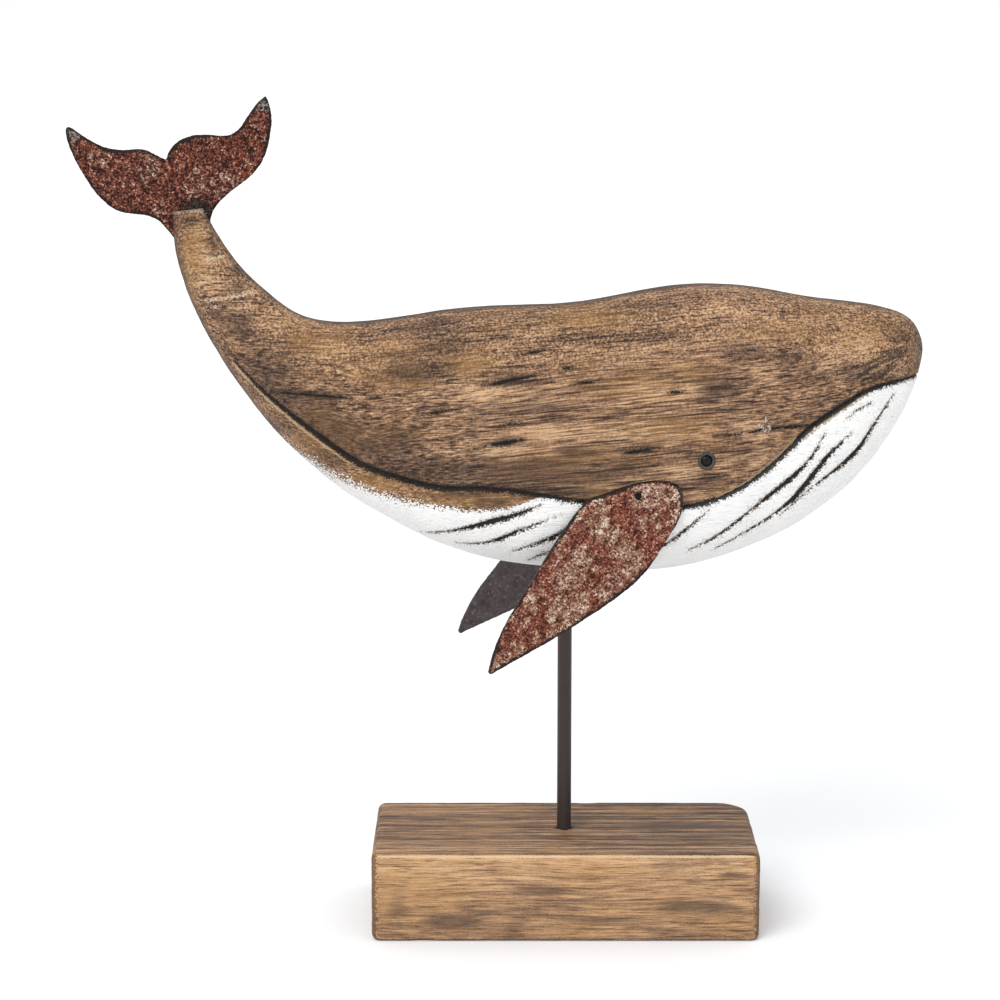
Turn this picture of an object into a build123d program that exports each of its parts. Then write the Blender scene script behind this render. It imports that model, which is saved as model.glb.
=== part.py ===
from build123d import *
import math
import os

# Stand: wooden block and steel rod, in mm
BASE_LENGTH = 134.0
BASE_DEPTH = 67.0
BASE_HEIGHT = 31.0
BASE_EDGE_RADIUS = 2.0
BASE_CORNER_RADIUS = 3.0
BASE_WORN_CORNER_RADIUS = 12.0
ROD_DIAMETER = 5.0
ROD_SHOWN = 94.5
ROD_IN_BASE = 24.0
ROD_IN_BODY = 36.0
ROD_END_CHAMFER = 0.4
GLUE_GAP = 0.1

# Whale body, carved from one board and turned a little on the rod
BODY_LENGTH = 262.0
BODY_DEPTH = 99.0
BODY_WIDTH = 54.0
BODY_FULLNESS = 0.69
WHALE_TURN = 10.0

# Cut line along the side, which stops either side of the flipper, and the throat pleats
JAW_LINE_WIDTH = 2.2
PLEAT_WIDTH = 1.8
GOUGE_DEPTH = 1.3

# Sheet steel fins
SHEET_THICKNESS = 1.2
SEAT_GAP = 0.15
FLIPPER_LENGTH = 79.8
FLIPPER_WIDTH = 31.5
FLIPPER_CROWN = 11.0
FLIPPER_SPLAY = 8.0
FLIPPER_SEAT_DEPTH = 0.7
FLIPPER_TIP_RADIUS = 0.8
FLUKE_SPAN = 69.0
FLUKE_HEIGHT = 33.0
FLUKE_NOTCH_HEIGHT = 17.3
FLUKE_NOTCH_SHIFT = 1.9
FLUKE_THROAT_WIDTH = 15.2
FLUKE_THROAT_DEPTH = 4.9
FLUKE_THROAT_SHIFT = 1.7
FLUKE_NECK_WIDTH = 9.5
FLUKE_NECK_DEPTH = 14.0
FLUKE_NECK_SLANT = 10.0
FLUKE_LEAN = 8.0
FLUKE_OFFSET = 2.2
FLUKE_TIP_RADIUS = 1.1

# Brads through the flippers, and the eyes
NAIL_SPACING = 12.5
NAIL_HEAD_DIAMETER = 2.0
NAIL_HEAD_HEIGHT = 0.6
NAIL_SHANK_DIAMETER = 1.2
NAIL_LENGTH = 13.0
EYE_RING_DIAMETER = 6.2
EYE_RING_BORE = 3.9
EYE_RING_HEIGHT = 1.4
EYE_RING_BEVEL = 0.35
EYE_SOCKET_DEPTH = 0.9
EYE_TACK_HEIGHT = 1.5
EYE_TACK_BEVEL = 0.6
EYE_TACK_SHANK_DIAMETER = 1.4
EYE_TACK_LENGTH = 11.0
DRILL_GAP = 0.05

# Frames of the body from tail to snout, measured from where the rod enters the belly.
# Each holds belly x and z, back x and z (percent of body length and depth),
# width (percent of body width) and the height of the widest place (percent of the frame).
FRAMES = [
    (-51.3, 126.9, -47.3, 127.9, 18.5, 50),
    (-50.5, 108.9, -43.7, 111.5, 24.5, 50),
    (-47.9, 89.7, -39.8, 100.4, 32.5, 50),
    (-43.7, 70.1, -36.1, 92.6, 43.5, 48),
    (-38.1, 50.6, -31.9, 88.8, 56.5, 46),
    (-30.9, 32.5, -26.0, 88.3, 70.5, 43),
    (-21.6, 16.4, -17.9, 90.9, 85.0, 40),
    (-10.4, 4.6, -8.4, 92.8, 96.5, 37),
    (1.9, -0.3, 1.9, 93.6, 100.0, 35),
    (13.4, -1.0, 12.6, 98.0, 100.0, 35),
    (24.0, 5.5, 22.1, 98.5, 96.5, 37),
    (32.8, 16.4, 31.3, 94.6, 86.0, 40),
    (40.1, 32.1, 38.9, 91.7, 69.0, 43),
    (44.8, 48.5, 43.9, 89.1, 49.5, 46),
    (47.3, 60.6, 46.9, 85.1, 29.5, 50),
    (48.5, 70.7, 48.4, 78.8, 11.0, 50),
]

# Places on the flank, as percent of body length and depth, and each flipper's sweep in degrees.
# The two flippers are nailed on by hand, so they differ a little.
EYE_PLACE = (16.7, 40.8)
FLIPPER_PLACES = {"right": (7.6, 29.3), "left": (9.1, 25.3)}
FLIPPER_SWEEPS = {"right": 42.0, "left": 45.0}
JAW_LINES = [
    [(-43.8, 76.5), (-36.5, 57.8), (-27.4, 40.7), (-18.2, 33.5), (-8.4, 31.9), (-1.5, 28.5)],
    [(15.5, 25.3), (20.0, 29.0), (25.8, 39.1), (32.7, 53.5), (39.4, 62.6), (46.4, 65.3)],
]
PLEATS = [
    [(43.0, 60.0), (38.0, 42.5), (33.5, 32.0)],
    [(33.0, 49.5), (27.0, 30.7), (14.5, 8.5)],
    [(35.8, 49.0), (30.8, 30.5), (20.0, 8.5)],
    [(17.4, 23.5), (15.2, 17.0), (12.0, 12.0)],
    [(-6.0, 26.4), (-10.7, 21.0), (-17.5, 17.5)],
    [(-2.5, 26.0), (-7.0, 19.5), (-14.5, 12.5)],
    [(-1.5, 20.5), (-4.2, 15.0), (-8.2, 10.5)],
]

# Lobes of the fluke, in shares of its half span and height
FLUKE_LOBES = {
    "front": {
        "upper": [(0.03, 0.66), (0.13, 0.71), (0.37, 0.715), (0.61, 0.685), (0.76, 0.81)],
        "tip": (0.985, 1.01),
        "lower": [(1.01, 0.81), (0.95, 0.56), (0.825, 0.33), (0.60, 0.165), (0.39, 0.03)],
    },
    "rear": {
        "upper": [(-0.14, 0.585), (-0.22, 0.645), (-0.40, 0.685), (-0.58, 0.725), (-0.80, 0.88)],
        "tip": (-0.965, 1.04),
        "lower": [(-0.94, 0.74), (-0.857, 0.484), (-0.715, 0.21), (-0.57, 0.08), (-0.36, 0.015)],
    },
}


def on_body(place):
    """Millimetres along and above the belly for a place in percent."""
    return place[0] / 100 * BODY_LENGTH, place[1] / 100 * BODY_DEPTH


def on_median(place):
    """The same place as a point on the body's middle plane."""
    along, height = on_body(place)
    return Vector(along, 0, height)


def peg(diameter, height):
    """Round peg that stands on the drawing plane."""
    return Cylinder(diameter / 2, height, align=(Align.CENTER, Align.CENTER, Align.MIN))


def shank(diameter, length):
    """Round shank that hangs below the drawing plane."""
    return Cylinder(diameter / 2, length, align=(Align.CENTER, Align.CENTER, Align.MAX))


def body_frame(frame, inset):
    """Face across the body, drawn in by the inset all round."""
    belly = on_median(frame[0:2])
    back = on_median(frame[2:4])
    up = (back - belly).normalized()
    height = (back - belly).length
    widest = frame[5] / 100 * height
    half_width = frame[4] / 200 * BODY_WIDTH - inset
    above = height - inset - widest
    below = widest - inset
    upper = Bezier(
        (0, widest + above),
        (half_width * BODY_FULLNESS, widest + above),
        (half_width, widest + above * BODY_FULLNESS),
        (half_width, widest),
    )
    lower = Bezier(
        (half_width, widest),
        (half_width, widest - below * BODY_FULLNESS),
        (half_width * BODY_FULLNESS, widest - below),
        (0, widest - below),
    )
    plane = Plane(origin=belly, x_dir=(0, 1, 0), z_dir=Vector(0, 1, 0).cross(up))
    return plane * make_face([upper, lower, mirror(upper, Plane.YZ), mirror(lower, Plane.YZ)])


def body_blank(inset=0.0):
    """Body before its cuts, or the core at which the gouge cuts stop."""
    return loft([body_frame(frame, inset) for frame in FRAMES])


def gouge_cut(places, width):
    """Narrow blade through the body, pointed at both ends and widest in between."""
    line = Spline(*[on_body(place) for place in places])
    steps = 2 * len(places)
    edges = []
    for side in (-0.5, 0.5):
        points = [line @ 0]
        for step in range(1, steps):
            along = line % (step / steps)
            swell = side * width * math.sin(math.pi * step / steps) ** 0.5
            points.append(line @ (step / steps) + Vector(-along.Y, along.X) * swell)
        points.append(line @ 1)
        edges.append(Spline(*points))
    return extrude(Plane.XZ * make_face(edges), BODY_WIDTH, both=True)


def flank_point(blank, place):
    """Point and outward normal on the right flank at a place in percent."""
    sideways = Axis(on_median(place), (0, -1, 0))
    return blank.shell().find_intersection_points(sideways)[-1]


def flipper_point(along, across):
    """Point of the flipper's outline on its sheet, in shares of its length and width."""
    return Vector(across * FLIPPER_WIDTH, -along * FLIPPER_LENGTH)


def flipper_outline():
    """Leaf with a broad root, drawn round the point where it is nailed on, tip downward."""
    rear_root = flipper_point(0.16, -0.405)
    tip = flipper_point(1.0, 0.0)
    root_and_front = Spline(
        rear_root,
        flipper_point(0.035, -0.216),
        flipper_point(-0.09, 0.03),
        flipper_point(-FLIPPER_CROWN / FLIPPER_LENGTH, 0.28),
        flipper_point(-0.09, 0.45),
        flipper_point(0.04, 0.54),
        flipper_point(0.23, 0.595),
        flipper_point(0.43, 0.505),
        flipper_point(0.73, 0.26),
        tip,
    )
    rear = Spline(
        tip,
        flipper_point(0.86, -0.165),
        flipper_point(0.58, -0.295),
        flipper_point(0.3, -0.395),
        rear_root,
    )
    return make_face([root_and_front, rear])


def nail_places():
    """Brads in a row along the flipper's root, the first where it is seated."""
    root = flipper_point(-0.09, 0.45) - flipper_point(0.035, -0.216)
    return [Pos(0, 0), Pos(root.normalized() * NAIL_SPACING)]


def flipper():
    """Flat sheet on its seat, with the holes for its brads."""
    sheet = extrude(flipper_outline(), SHEET_THICKNESS)
    tip = sheet.edges().filter_by(Axis.Z).sort_by(Axis.Y)[0]
    sheet = fillet(tip, FLIPPER_TIP_RADIUS)
    for place in nail_places():
        sheet -= place * peg(NAIL_SHANK_DIAMETER + 2 * DRILL_GAP, SHEET_THICKNESS)
    return sheet


def flipper_seat():
    """Flat bed that the body gives the flipper's root, with a gap all round the sheet."""
    growth = 1 + SEAT_GAP / FLIPPER_CROWN
    return extrude(scale(flipper_outline(), by=growth), BODY_WIDTH)


def pilot_holes():
    """Holes in the body for the brads."""
    hole = Pos(0, 0, SHEET_THICKNESS) * shank(NAIL_SHANK_DIAMETER + 2 * DRILL_GAP, NAIL_LENGTH)
    return [place * hole for place in nail_places()]


def flipper_nails():
    """Brads driven through the sheet, heads down on it."""
    nails = []
    for place in nail_places():
        head = peg(NAIL_HEAD_DIAMETER, NAIL_HEAD_HEIGHT)
        head = chamfer(head.edges().group_by(Axis.Z)[-1], NAIL_HEAD_HEIGHT / 2)
        nail = head + shank(NAIL_SHANK_DIAMETER, NAIL_LENGTH)
        nails.append(place * Pos(0, 0, SHEET_THICKNESS) * nail)
    return nails


def fluke_point(share):
    """Point of the fluke's outline, from its shares of the half span and the height."""
    return share[0] * FLUKE_SPAN / 2, share[1] * FLUKE_HEIGHT


def fluke_lobe(lobe, throat):
    """Edges of one lobe, from the notch round its tip to the throat."""
    notch = (-FLUKE_NOTCH_SHIFT, FLUKE_NOTCH_HEIGHT)
    tip = fluke_point(lobe["tip"])
    upper = Spline(notch, *[fluke_point(share) for share in lobe["upper"]], tip)
    lower = Spline(tip, *[fluke_point(share) for share in lobe["lower"]], throat)
    return [upper, lower]


def tail_fluke():
    """Two-lobed sheet whose neck slants down along the tail into the saw cut."""
    front_throat = (FLUKE_THROAT_SHIFT + FLUKE_THROAT_WIDTH / 2, -FLUKE_THROAT_DEPTH)
    rear_throat = (FLUKE_THROAT_SHIFT - FLUKE_THROAT_WIDTH / 2, -FLUKE_THROAT_DEPTH)
    slant = FLUKE_OFFSET + FLUKE_NECK_DEPTH * math.tan(math.radians(FLUKE_NECK_SLANT))
    neck_end = Line(
        (slant + FLUKE_NECK_WIDTH / 2, -FLUKE_NECK_DEPTH),
        (slant - FLUKE_NECK_WIDTH / 2, -FLUKE_NECK_DEPTH),
    )
    edges = fluke_lobe(FLUKE_LOBES["front"], front_throat) + fluke_lobe(FLUKE_LOBES["rear"], rear_throat)
    neck_sides = [Line(front_throat, neck_end @ 0), Line(neck_end @ 1, rear_throat)]
    sheet = extrude(make_face(edges + neck_sides + [neck_end]), SHEET_THICKNESS / 2, both=True)
    tips = sheet.edges().filter_by(Axis.Z).sort_by(Axis.Y)[-2:]
    return fillet(tips, FLUKE_TIP_RADIUS)


def fluke_slot():
    """Saw cut in the tail's end that the fluke's neck goes down into."""
    kerf = SHEET_THICKNESS + 2 * SEAT_GAP
    length = FLUKE_NECK_DEPTH + FLUKE_HEIGHT
    cut = Box(FLUKE_SPAN / 2, length, kerf, align=(Align.CENTER, Align.MIN, Align.CENTER))
    return Pos(0, -FLUKE_NECK_DEPTH) * cut


def eye_ring():
    """Dark ring let into the flank."""
    ring = peg(EYE_RING_DIAMETER, EYE_RING_HEIGHT) - peg(EYE_RING_BORE, EYE_RING_HEIGHT)
    ring = chamfer(ring.edges().group_by(Axis.Z)[-1], EYE_RING_BEVEL)
    return Pos(0, 0, -EYE_SOCKET_DEPTH) * ring


def eye_tack():
    """Round-headed tack in the middle of the ring."""
    head = peg(EYE_RING_BORE - 2 * DRILL_GAP, EYE_TACK_HEIGHT)
    head = chamfer(head.edges().group_by(Axis.Z)[-1], EYE_TACK_BEVEL)
    tack = head + shank(EYE_TACK_SHANK_DIAMETER, EYE_TACK_LENGTH)
    return Pos(0, 0, -EYE_SOCKET_DEPTH) * tack


def eye_socket():
    """Counterbore for the ring, and the hole for the tack."""
    socket = peg(EYE_RING_DIAMETER + 2 * DRILL_GAP, BODY_WIDTH / 4)
    socket += shank(EYE_TACK_SHANK_DIAMETER + 2 * DRILL_GAP, EYE_TACK_LENGTH)
    return Pos(0, 0, -EYE_SOCKET_DEPTH) * socket


def base_block():
    """Block with eased edges and one back corner worn round, drilled for the rod."""
    outline = Rectangle(BASE_LENGTH, BASE_DEPTH)
    corners = outline.vertices().sort_by(lambda corner: corner.X + corner.Y)
    outline = fillet(corners[-1], BASE_WORN_CORNER_RADIUS)
    corners = outline.vertices().sort_by(lambda corner: corner.X + corner.Y)[:3]
    outline = fillet(corners, BASE_CORNER_RADIUS)
    block = extrude(outline, BASE_HEIGHT)
    rims = block.edges().group_by(Axis.Z)
    block = fillet(rims[0] + rims[-1], BASE_EDGE_RADIUS)
    return block - Pos(0, 0, BASE_HEIGHT) * shank(ROD_DIAMETER + 2 * GLUE_GAP, ROD_IN_BASE)


def stand_rod():
    """Rod from the bottom of its hole in the block to the bottom of its hole in the belly."""
    rod = peg(ROD_DIAMETER, ROD_IN_BASE + ROD_SHOWN + ROD_IN_BODY)
    rod = chamfer(rod.edges().filter_by(GeomType.CIRCLE), ROD_END_CHAMFER)
    return Pos(0, 0, BASE_HEIGHT - ROD_IN_BASE) * rod


def flipper_bed(blank, side):
    """Plane of the flat bed that a flipper lies on, on the right flank, with the sheet's tip downward."""
    point, _ = flank_point(blank, FLIPPER_PLACES[side])
    splay = math.radians(FLIPPER_SPLAY)
    facing = Vector(0, -math.cos(splay), math.sin(splay))
    bed = Plane(point - facing * FLIPPER_SEAT_DEPTH, x_dir=(1, 0, 0), z_dir=facing)
    return bed * Rot(0, 0, -FLIPPER_SWEEPS[side])


def on_side(solids, side):
    """Solids of the right flank as they are, or mirrored to the left."""
    return solids if side == "right" else [mirror(solid, Plane.XZ) for solid in solids]


def whale():
    """Body, fins and eyes by name, round the point where the rod enters the belly."""
    blank = body_blank()
    core = body_blank(GOUGE_DEPTH)
    blades = [gouge_cut(line, JAW_LINE_WIDTH) for line in JAW_LINES]
    blades += [gouge_cut(pleat, PLEAT_WIDTH) for pleat in PLEATS]
    body = blank - [blade - core for blade in blades]

    tail_middle = (on_median(FRAMES[0][0:2]) + on_median(FRAMES[0][2:4])) / 2
    lean = math.radians(FLUKE_LEAN)
    tail = Plane(tail_middle, x_dir=(math.cos(lean), 0, math.sin(lean)), z_dir=(0, -1, 0))
    fluke_place = tail * Pos(-FLUKE_OFFSET, 0)
    body -= fluke_place * fluke_slot()
    body -= shank(ROD_DIAMETER + 2 * GLUE_GAP, ROD_SHOWN) + peg(ROD_DIAMETER + 2 * GLUE_GAP, ROD_IN_BODY)

    eye_point, eye_normal = flank_point(blank, EYE_PLACE)
    eye = Plane(eye_point, x_dir=(1, 0, 0), z_dir=eye_normal)
    pieces = {"tail_fluke": [fluke_place * tail_fluke()]}
    for side in FLIPPER_PLACES:
        bed = flipper_bed(blank, side)
        cutters = [bed * flipper_seat(), eye * eye_socket()] + [bed * hole for hole in pilot_holes()]
        for cutter in on_side(cutters, side):
            body -= cutter
        pieces[side + "_flipper"] = on_side([bed * flipper()], side)
        pieces[side + "_flipper_nails"] = on_side([bed * nail for nail in flipper_nails()], side)
        pieces[side + "_eye_ring"] = on_side([eye * eye_ring()], side)
        pieces[side + "_eye_tack"] = on_side([eye * eye_tack()], side)
    pieces["whale_body"] = [body]
    return pieces


def main():
    """Write each piece to its own file, with the whale turned and raised on its rod."""
    os.makedirs("parts", exist_ok=True)
    pieces = {"base_block": [base_block()], "stand_rod": [stand_rod()]}
    raised = Pos(0, 0, BASE_HEIGHT + ROD_SHOWN) * Rot(0, 0, WHALE_TURN)
    for name, solids in whale().items():
        pieces[name] = [raised * solid for solid in solids]
    for name, solids in pieces.items():
        export_step(Compound(children=solids), f"parts/{name}.step")


main()
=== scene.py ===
"""Looks of a carved whale on a rod and block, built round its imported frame, in metres."""

import logging
import math
from dataclasses import dataclass
from enum import Enum

import bmesh
import bpy
import numpy as np
from mathutils import Matrix, Vector, kdtree, noise


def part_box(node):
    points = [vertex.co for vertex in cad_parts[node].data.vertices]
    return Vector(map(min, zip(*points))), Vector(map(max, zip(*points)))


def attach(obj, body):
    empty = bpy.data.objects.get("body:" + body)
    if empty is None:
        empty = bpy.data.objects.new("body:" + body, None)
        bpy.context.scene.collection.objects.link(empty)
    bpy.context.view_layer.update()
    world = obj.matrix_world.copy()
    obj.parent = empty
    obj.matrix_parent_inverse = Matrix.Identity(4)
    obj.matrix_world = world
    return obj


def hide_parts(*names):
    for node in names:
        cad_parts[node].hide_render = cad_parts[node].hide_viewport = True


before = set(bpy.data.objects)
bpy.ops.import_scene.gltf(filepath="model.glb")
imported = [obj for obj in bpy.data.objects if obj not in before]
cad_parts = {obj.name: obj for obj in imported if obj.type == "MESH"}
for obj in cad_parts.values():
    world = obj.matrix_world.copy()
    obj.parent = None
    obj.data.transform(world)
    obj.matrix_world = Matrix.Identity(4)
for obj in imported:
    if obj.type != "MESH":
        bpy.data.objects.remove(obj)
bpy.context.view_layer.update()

LOG = logging.getLogger("whale_figurine")
MM = 0.001
SHARP_ANGLE = math.radians(38)
WELD_GAP = 1e-7
FRAME_WELD_GAP = 1e-6
SAME_WAY = 0.999
ROUND_STEPS = 48
GRIT_SCALE = 1900.0

Colour = tuple[float, float, float]
Scale = tuple[float, float, float]
Feed = bpy.types.NodeSocket | float | tuple[float, ...]
Line = list[tuple[float, float]]
Stops = tuple[tuple[float, float], ...]
Layers = tuple[tuple[Scale, float], ...]
Tones = tuple[tuple[float, Colour], ...]


class Side(Enum):
    """The whale's own right side, which faces the camera, and its left side."""

    RIGHT = -1
    LEFT = 1

    @property
    def word(self) -> str:
        """The side's name in the frame's nodes."""
        return self.name.lower()


class Direction(Enum):
    """Which way a shared node group's socket faces."""

    IN = "INPUT"
    OUT = "OUTPUT"


@dataclass(frozen=True)
class Mark:
    """A cut or scratch on the flank.

    Its line runs through places in mm along the whale and above its belly. Its width in mm narrows to
    both ends, faster where it is blunt, and follows the profile's shares from end to end.
    """

    line: Line
    width: float
    blunt: float = 0.5
    profile: tuple[float, ...] = (1.0,)


@dataclass(frozen=True)
class Patch:
    """A cloud of stain: its middle, reach along and reach up in mm, and its strength."""

    along: float
    up: float
    reach: float
    rise: float
    strength: float


# Frames of the body from tail to snout: belly x and z, back x and z (percent of body length
# and depth), width (percent of body width) and height of the widest place (percent).
BODY_FRAMES = [
    (-51.3, 126.9, -47.3, 127.9, 18.5, 50),
    (-50.5, 108.9, -43.7, 111.5, 24.5, 50),
    (-47.9, 89.7, -39.8, 100.4, 32.5, 50),
    (-43.7, 70.1, -36.1, 92.6, 43.5, 48),
    (-38.1, 50.6, -31.9, 88.8, 56.5, 46),
    (-30.9, 32.5, -26.0, 88.3, 70.5, 43),
    (-21.6, 16.4, -17.9, 90.9, 85.0, 40),
    (-10.4, 4.6, -8.4, 92.8, 96.5, 37),
    (1.9, -0.3, 1.9, 93.6, 100.0, 35),
    (13.4, -1.0, 12.6, 98.0, 100.0, 35),
    (24.0, 5.5, 22.1, 98.5, 96.5, 37),
    (32.8, 16.4, 31.3, 94.6, 86.0, 40),
    (40.1, 32.1, 38.9, 91.7, 69.0, 43),
    (44.8, 48.5, 43.9, 89.1, 49.5, 46),
    (47.3, 60.6, 46.9, 85.1, 29.5, 50),
    (48.5, 70.7, 48.4, 78.8, 11.0, 50),
]

JAW_LINE = Mark(
    [(-114.8, 75.7), (-106.8, 67.0), (-95.7, 57.2), (-83.2, 47.5), (-71.9, 40.3), (-61.2, 36.5),
     (-47.6, 33.2), (-35.0, 32.8), (-22.0, 31.6), (-11.6, 29.7), (0.3, 27.4), (17.1, 25.0),
     (36.2, 24.5), (47.4, 26.8), (58.2, 31.8), (67.7, 38.7), (80.2, 49.4), (94.4, 57.8),
     (103.2, 62.0), (112.4, 63.9), (121.1, 64.9), (127.5, 65.2)],
    1.0, 0.1, (0.9, 2.2, 2.2, 1.7, 1.7, 2.1, 2.8, 1.2),
)

PLEATS = [
    Mark([(112.9, 59.7), (103.5, 46.9), (101.2, 43.5), (95.1, 37.6), (85.6, 31.0), (71.3, 19.7)], 2.1, 0.3,
         (0.5, 0.55, 0.75, 1.0, 0.6, 0.4, 0.35, 0.3)),
    Mark([(104.2, 57.6), (99.0, 55.4), (94.2, 52.6)], 0.7),
    Mark([(96.4, 47.5), (92.6, 44.2), (89.7, 41.7), (76.3, 26.1), (66.6, 18.7), (49.3, 8.5)], 2.5, 0.3,
         (0.25, 0.9, 1.0, 0.95, 0.5, 0.35, 0.35, 0.25)),
    Mark([(86.6, 48.1), (81.1, 39.5), (68.4, 28.5), (60.4, 22.5), (48.4, 13.2), (39.0, 8.3)], 2.2, 0.3,
         (0.5, 0.6, 1.0, 0.9, 0.4, 0.55, 0.7, 0.35)),
    Mark([(45.1, 23.3), (38.0, 17.0), (31.1, 11.7), (24.0, 7.5)], 1.2),
    Mark([(30.0, 22.5), (24.0, 14.0), (17.0, 8.0)], 1.3),
    Mark([(12.0, 24.0), (6.0, 16.0), (-2.0, 8.5)], 1.3),
    Mark([(-13.6, 27.0), (-16.5, 25.5), (-30.2, 21.0), (-40.8, 18.0), (-52.2, 16.1)], 2.5, 0.3,
         (0.5, 0.9, 1.0, 1.0, 0.8, 0.45, 0.3, 0.25)),
    Mark([(-7.6, 23.0), (-15.0, 19.8), (-23.4, 16.2), (-29.6, 13.6), (-40.7, 12.5)], 1.8, 0.3,
         (0.3, 0.4, 0.65, 1.0, 1.0, 0.5, 0.35, 0.3)),
    Mark([(-3.5, 18.5), (-7.2, 15.9), (-16.4, 11.9), (-22.5, 9.2)], 1.8, 0.3, (1.0, 1.0, 0.6, 0.35)),
    Mark([(-8.0, 10.2), (-11.5, 8.3), (-16.0, 5.8)], 1.0),
]

CRACKS = [
    Mark([(-32.5, 67.5), (-23.7, 69.0), (-14.7, 70.7)], 1.2),
    Mark([(-2.6, 67.4), (2.2, 67.8), (7.1, 68.6)], 0.7),
    Mark([(-5.4, 72.5), (-2.3, 72.8)], 1.0),
    Mark([(-31.9, 47.4), (-25.8, 48.3), (-19.4, 49.2)], 1.5),
    Mark([(-40.0, 45.8), (-31.9, 47.4)], 0.5),
    Mark([(14.2, 43.6), (21.1, 44.5), (28.0, 45.3)], 1.4),
    Mark([(30.0, 63.8), (36.2, 64.2)], 0.8),
    Mark([(82.5, 51.0), (72.0, 50.9), (63.3, 50.3), (55.4, 49.2), (46.2, 48.5)], 1.0, 0.3,
         (1.5, 1.2, 0.9, 0.8)),
    Mark([(-103.1, 65.7), (-90.4, 64.8), (-76.9, 63.8)], 0.8),
    Mark([(-54.8, 57.9), (-47.5, 59.0), (-40.8, 60.1)], 0.6),
    Mark([(-28.8, 54.1), (-20.0, 55.0)], 0.5),
    Mark([(-21.5, 77.0), (-10.8, 78.8)], 0.6),
]

# Dark lines of grain that meet at the snout.
SNOUT_LINES = [
    Mark([(118.8, 75.1), (109.1, 71.5), (103.1, 69.2), (98.1, 66.0)], 1.2),
    Mark([(119.1, 75.6), (111.0, 73.6), (103.1, 71.5), (84.7, 66.6)], 0.9),
    Mark([(118.5, 76.4), (113.0, 75.4), (105.1, 74.4)], 0.8),
    Mark([(118.0, 74.2), (109.0, 68.8), (99.1, 64.6)], 0.9),
    Mark([(117.0, 72.4), (108.1, 66.7), (98.0, 63.4)], 0.7),
]

CHIPS = [
    Mark([(65.4, 55.4), (64.3, 53.0)], 0.6),
    Mark([(61.8, 52.4), (64.7, 49.9)], 0.7),
    Mark([(66.2, 52.6), (65.6, 49.6)], 0.6),
]

TAIL_SCRATCHES = [
    Mark([(-124.5, 96.2), (-116.0, 97.4), (-107.7, 98.9)], 1.0),
    Mark([(-125.6, 109.4), (-117.6, 110.9)], 0.9),
    Mark([(-126.5, 102.1), (-121.5, 102.6)], 0.8),
    Mark([(-125.0, 93.8), (-119.0, 94.4)], 0.5),
]

# Soot on the fluke round the end of the tail.
TAIL_SOOT = Mark([(-130.0, 126.4), (-124.0, 127.0), (-121.0, 124.0), (-119.0, 118.0)], 5.6, 0.2)

# Upper edge of the white paint behind the flipper; ahead of it the paint stops at the jaw line.
PAINT_EDGE_REAR = [
    (-112.0, 57.0), (-100.0, 47.0), (-92.0, 42.5), (-83.4, 37.0), (-70.4, 31.9), (-60.6, 28.7), (-50.7, 27.1),
    (-37.4, 25.0), (-24.1, 25.7), (-14.1, 29.7),
]

# Dark stains, and painted shade along one crack near the tail.
DARK_STAINS_AND_SHADE = [
    Patch(-46.0, 81.5, 15.0, 8.0, 0.8),
    Patch(-58.0, 77.0, 12.0, 4.0, 0.6),
    Patch(-26.5, 83.0, 9.0, 3.0, 0.6),
    Patch(-24.0, 70.5, 17.0, 3.0, 0.5),
    Patch(-14.0, 65.0, 6.0, 3.0, 0.5),
    Patch(-66.0, 48.5, 13.0, 5.5, 1.0),
    # Painted shade along the crack near the tail.
    Patch(-88.0, 64.0, 8.0, 5.0, 1.0),
    Patch(-54.0, 73.0, 14.0, 4.2, 1.0),
    Patch(-13.0, 59.6, 15.0, 2.9, 1.0),
    Patch(57.0, 77.5, 14.0, 4.4, 0.9),
    Patch(99.0, 68.6, 13.0, 4.4, 0.95),
    Patch(92.0, 56.0, 8.0, 4.8, 0.9),
    Patch(27.0, 31.0, 12.0, 4.0, 1.0),
    Patch(-113.0, 99.7, 4.6, 4.6, 0.9),
    Patch(-40.0, 38.5, 26.0, 5.0, 0.95),
    Patch(-14.0, 38.8, 17.0, 4.6, 1.0),
    Patch(-30.0, 27.8, 8.0, 2.6, 0.9),
    Patch(-94.5, 63.3, 9.0, 3.0, 0.9),
    Patch(-114.0, 88.0, 6.5, 5.8, 1.0),
    Patch(-2.0, 45.2, 9.0, 2.8, 1.0),
    Patch(10.0, 36.0, 24.0, 5.5, 0.75),
    Patch(27.0, 82.0, 14.0, 3.5, 0.6),
    Patch(48.5, 64.6, 9.0, 4.0, 1.0),
    Patch(43.0, 34.5, 8.0, 5.0, 0.85),
    Patch(62.0, 42.0, 10.0, 5.0, 0.6),
    Patch(72.0, 75.5, 12.0, 4.5, 0.65),
    Patch(81.0, 67.5, 10.0, 5.0, 0.7),
    Patch(114.7, 79.8, 6.0, 4.0, 0.6),
    Patch(-106.0, 71.0, 8.0, 7.0, 0.9),
    Patch(-86.0, 66.0, 14.0, 5.0, 0.6),
    Patch(-121.0, 92.5, 4.6, 4.2, 1.0),
    Patch(-128.5, 122.5, 3.0, 2.4, 0.7),
    Patch(-121.0, 114.0, 2.6, 6.0, 0.7),
    Patch(-113.5, 104.5, 4.0, 5.0, 0.6),
    Patch(-98.0, 54.0, 9.0, 5.0, 0.8),
    Patch(-84.0, 43.0, 9.0, 4.0, 0.6),
    Patch(-40.0, 30.5, 34.0, 2.2, 0.6),
]

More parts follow.
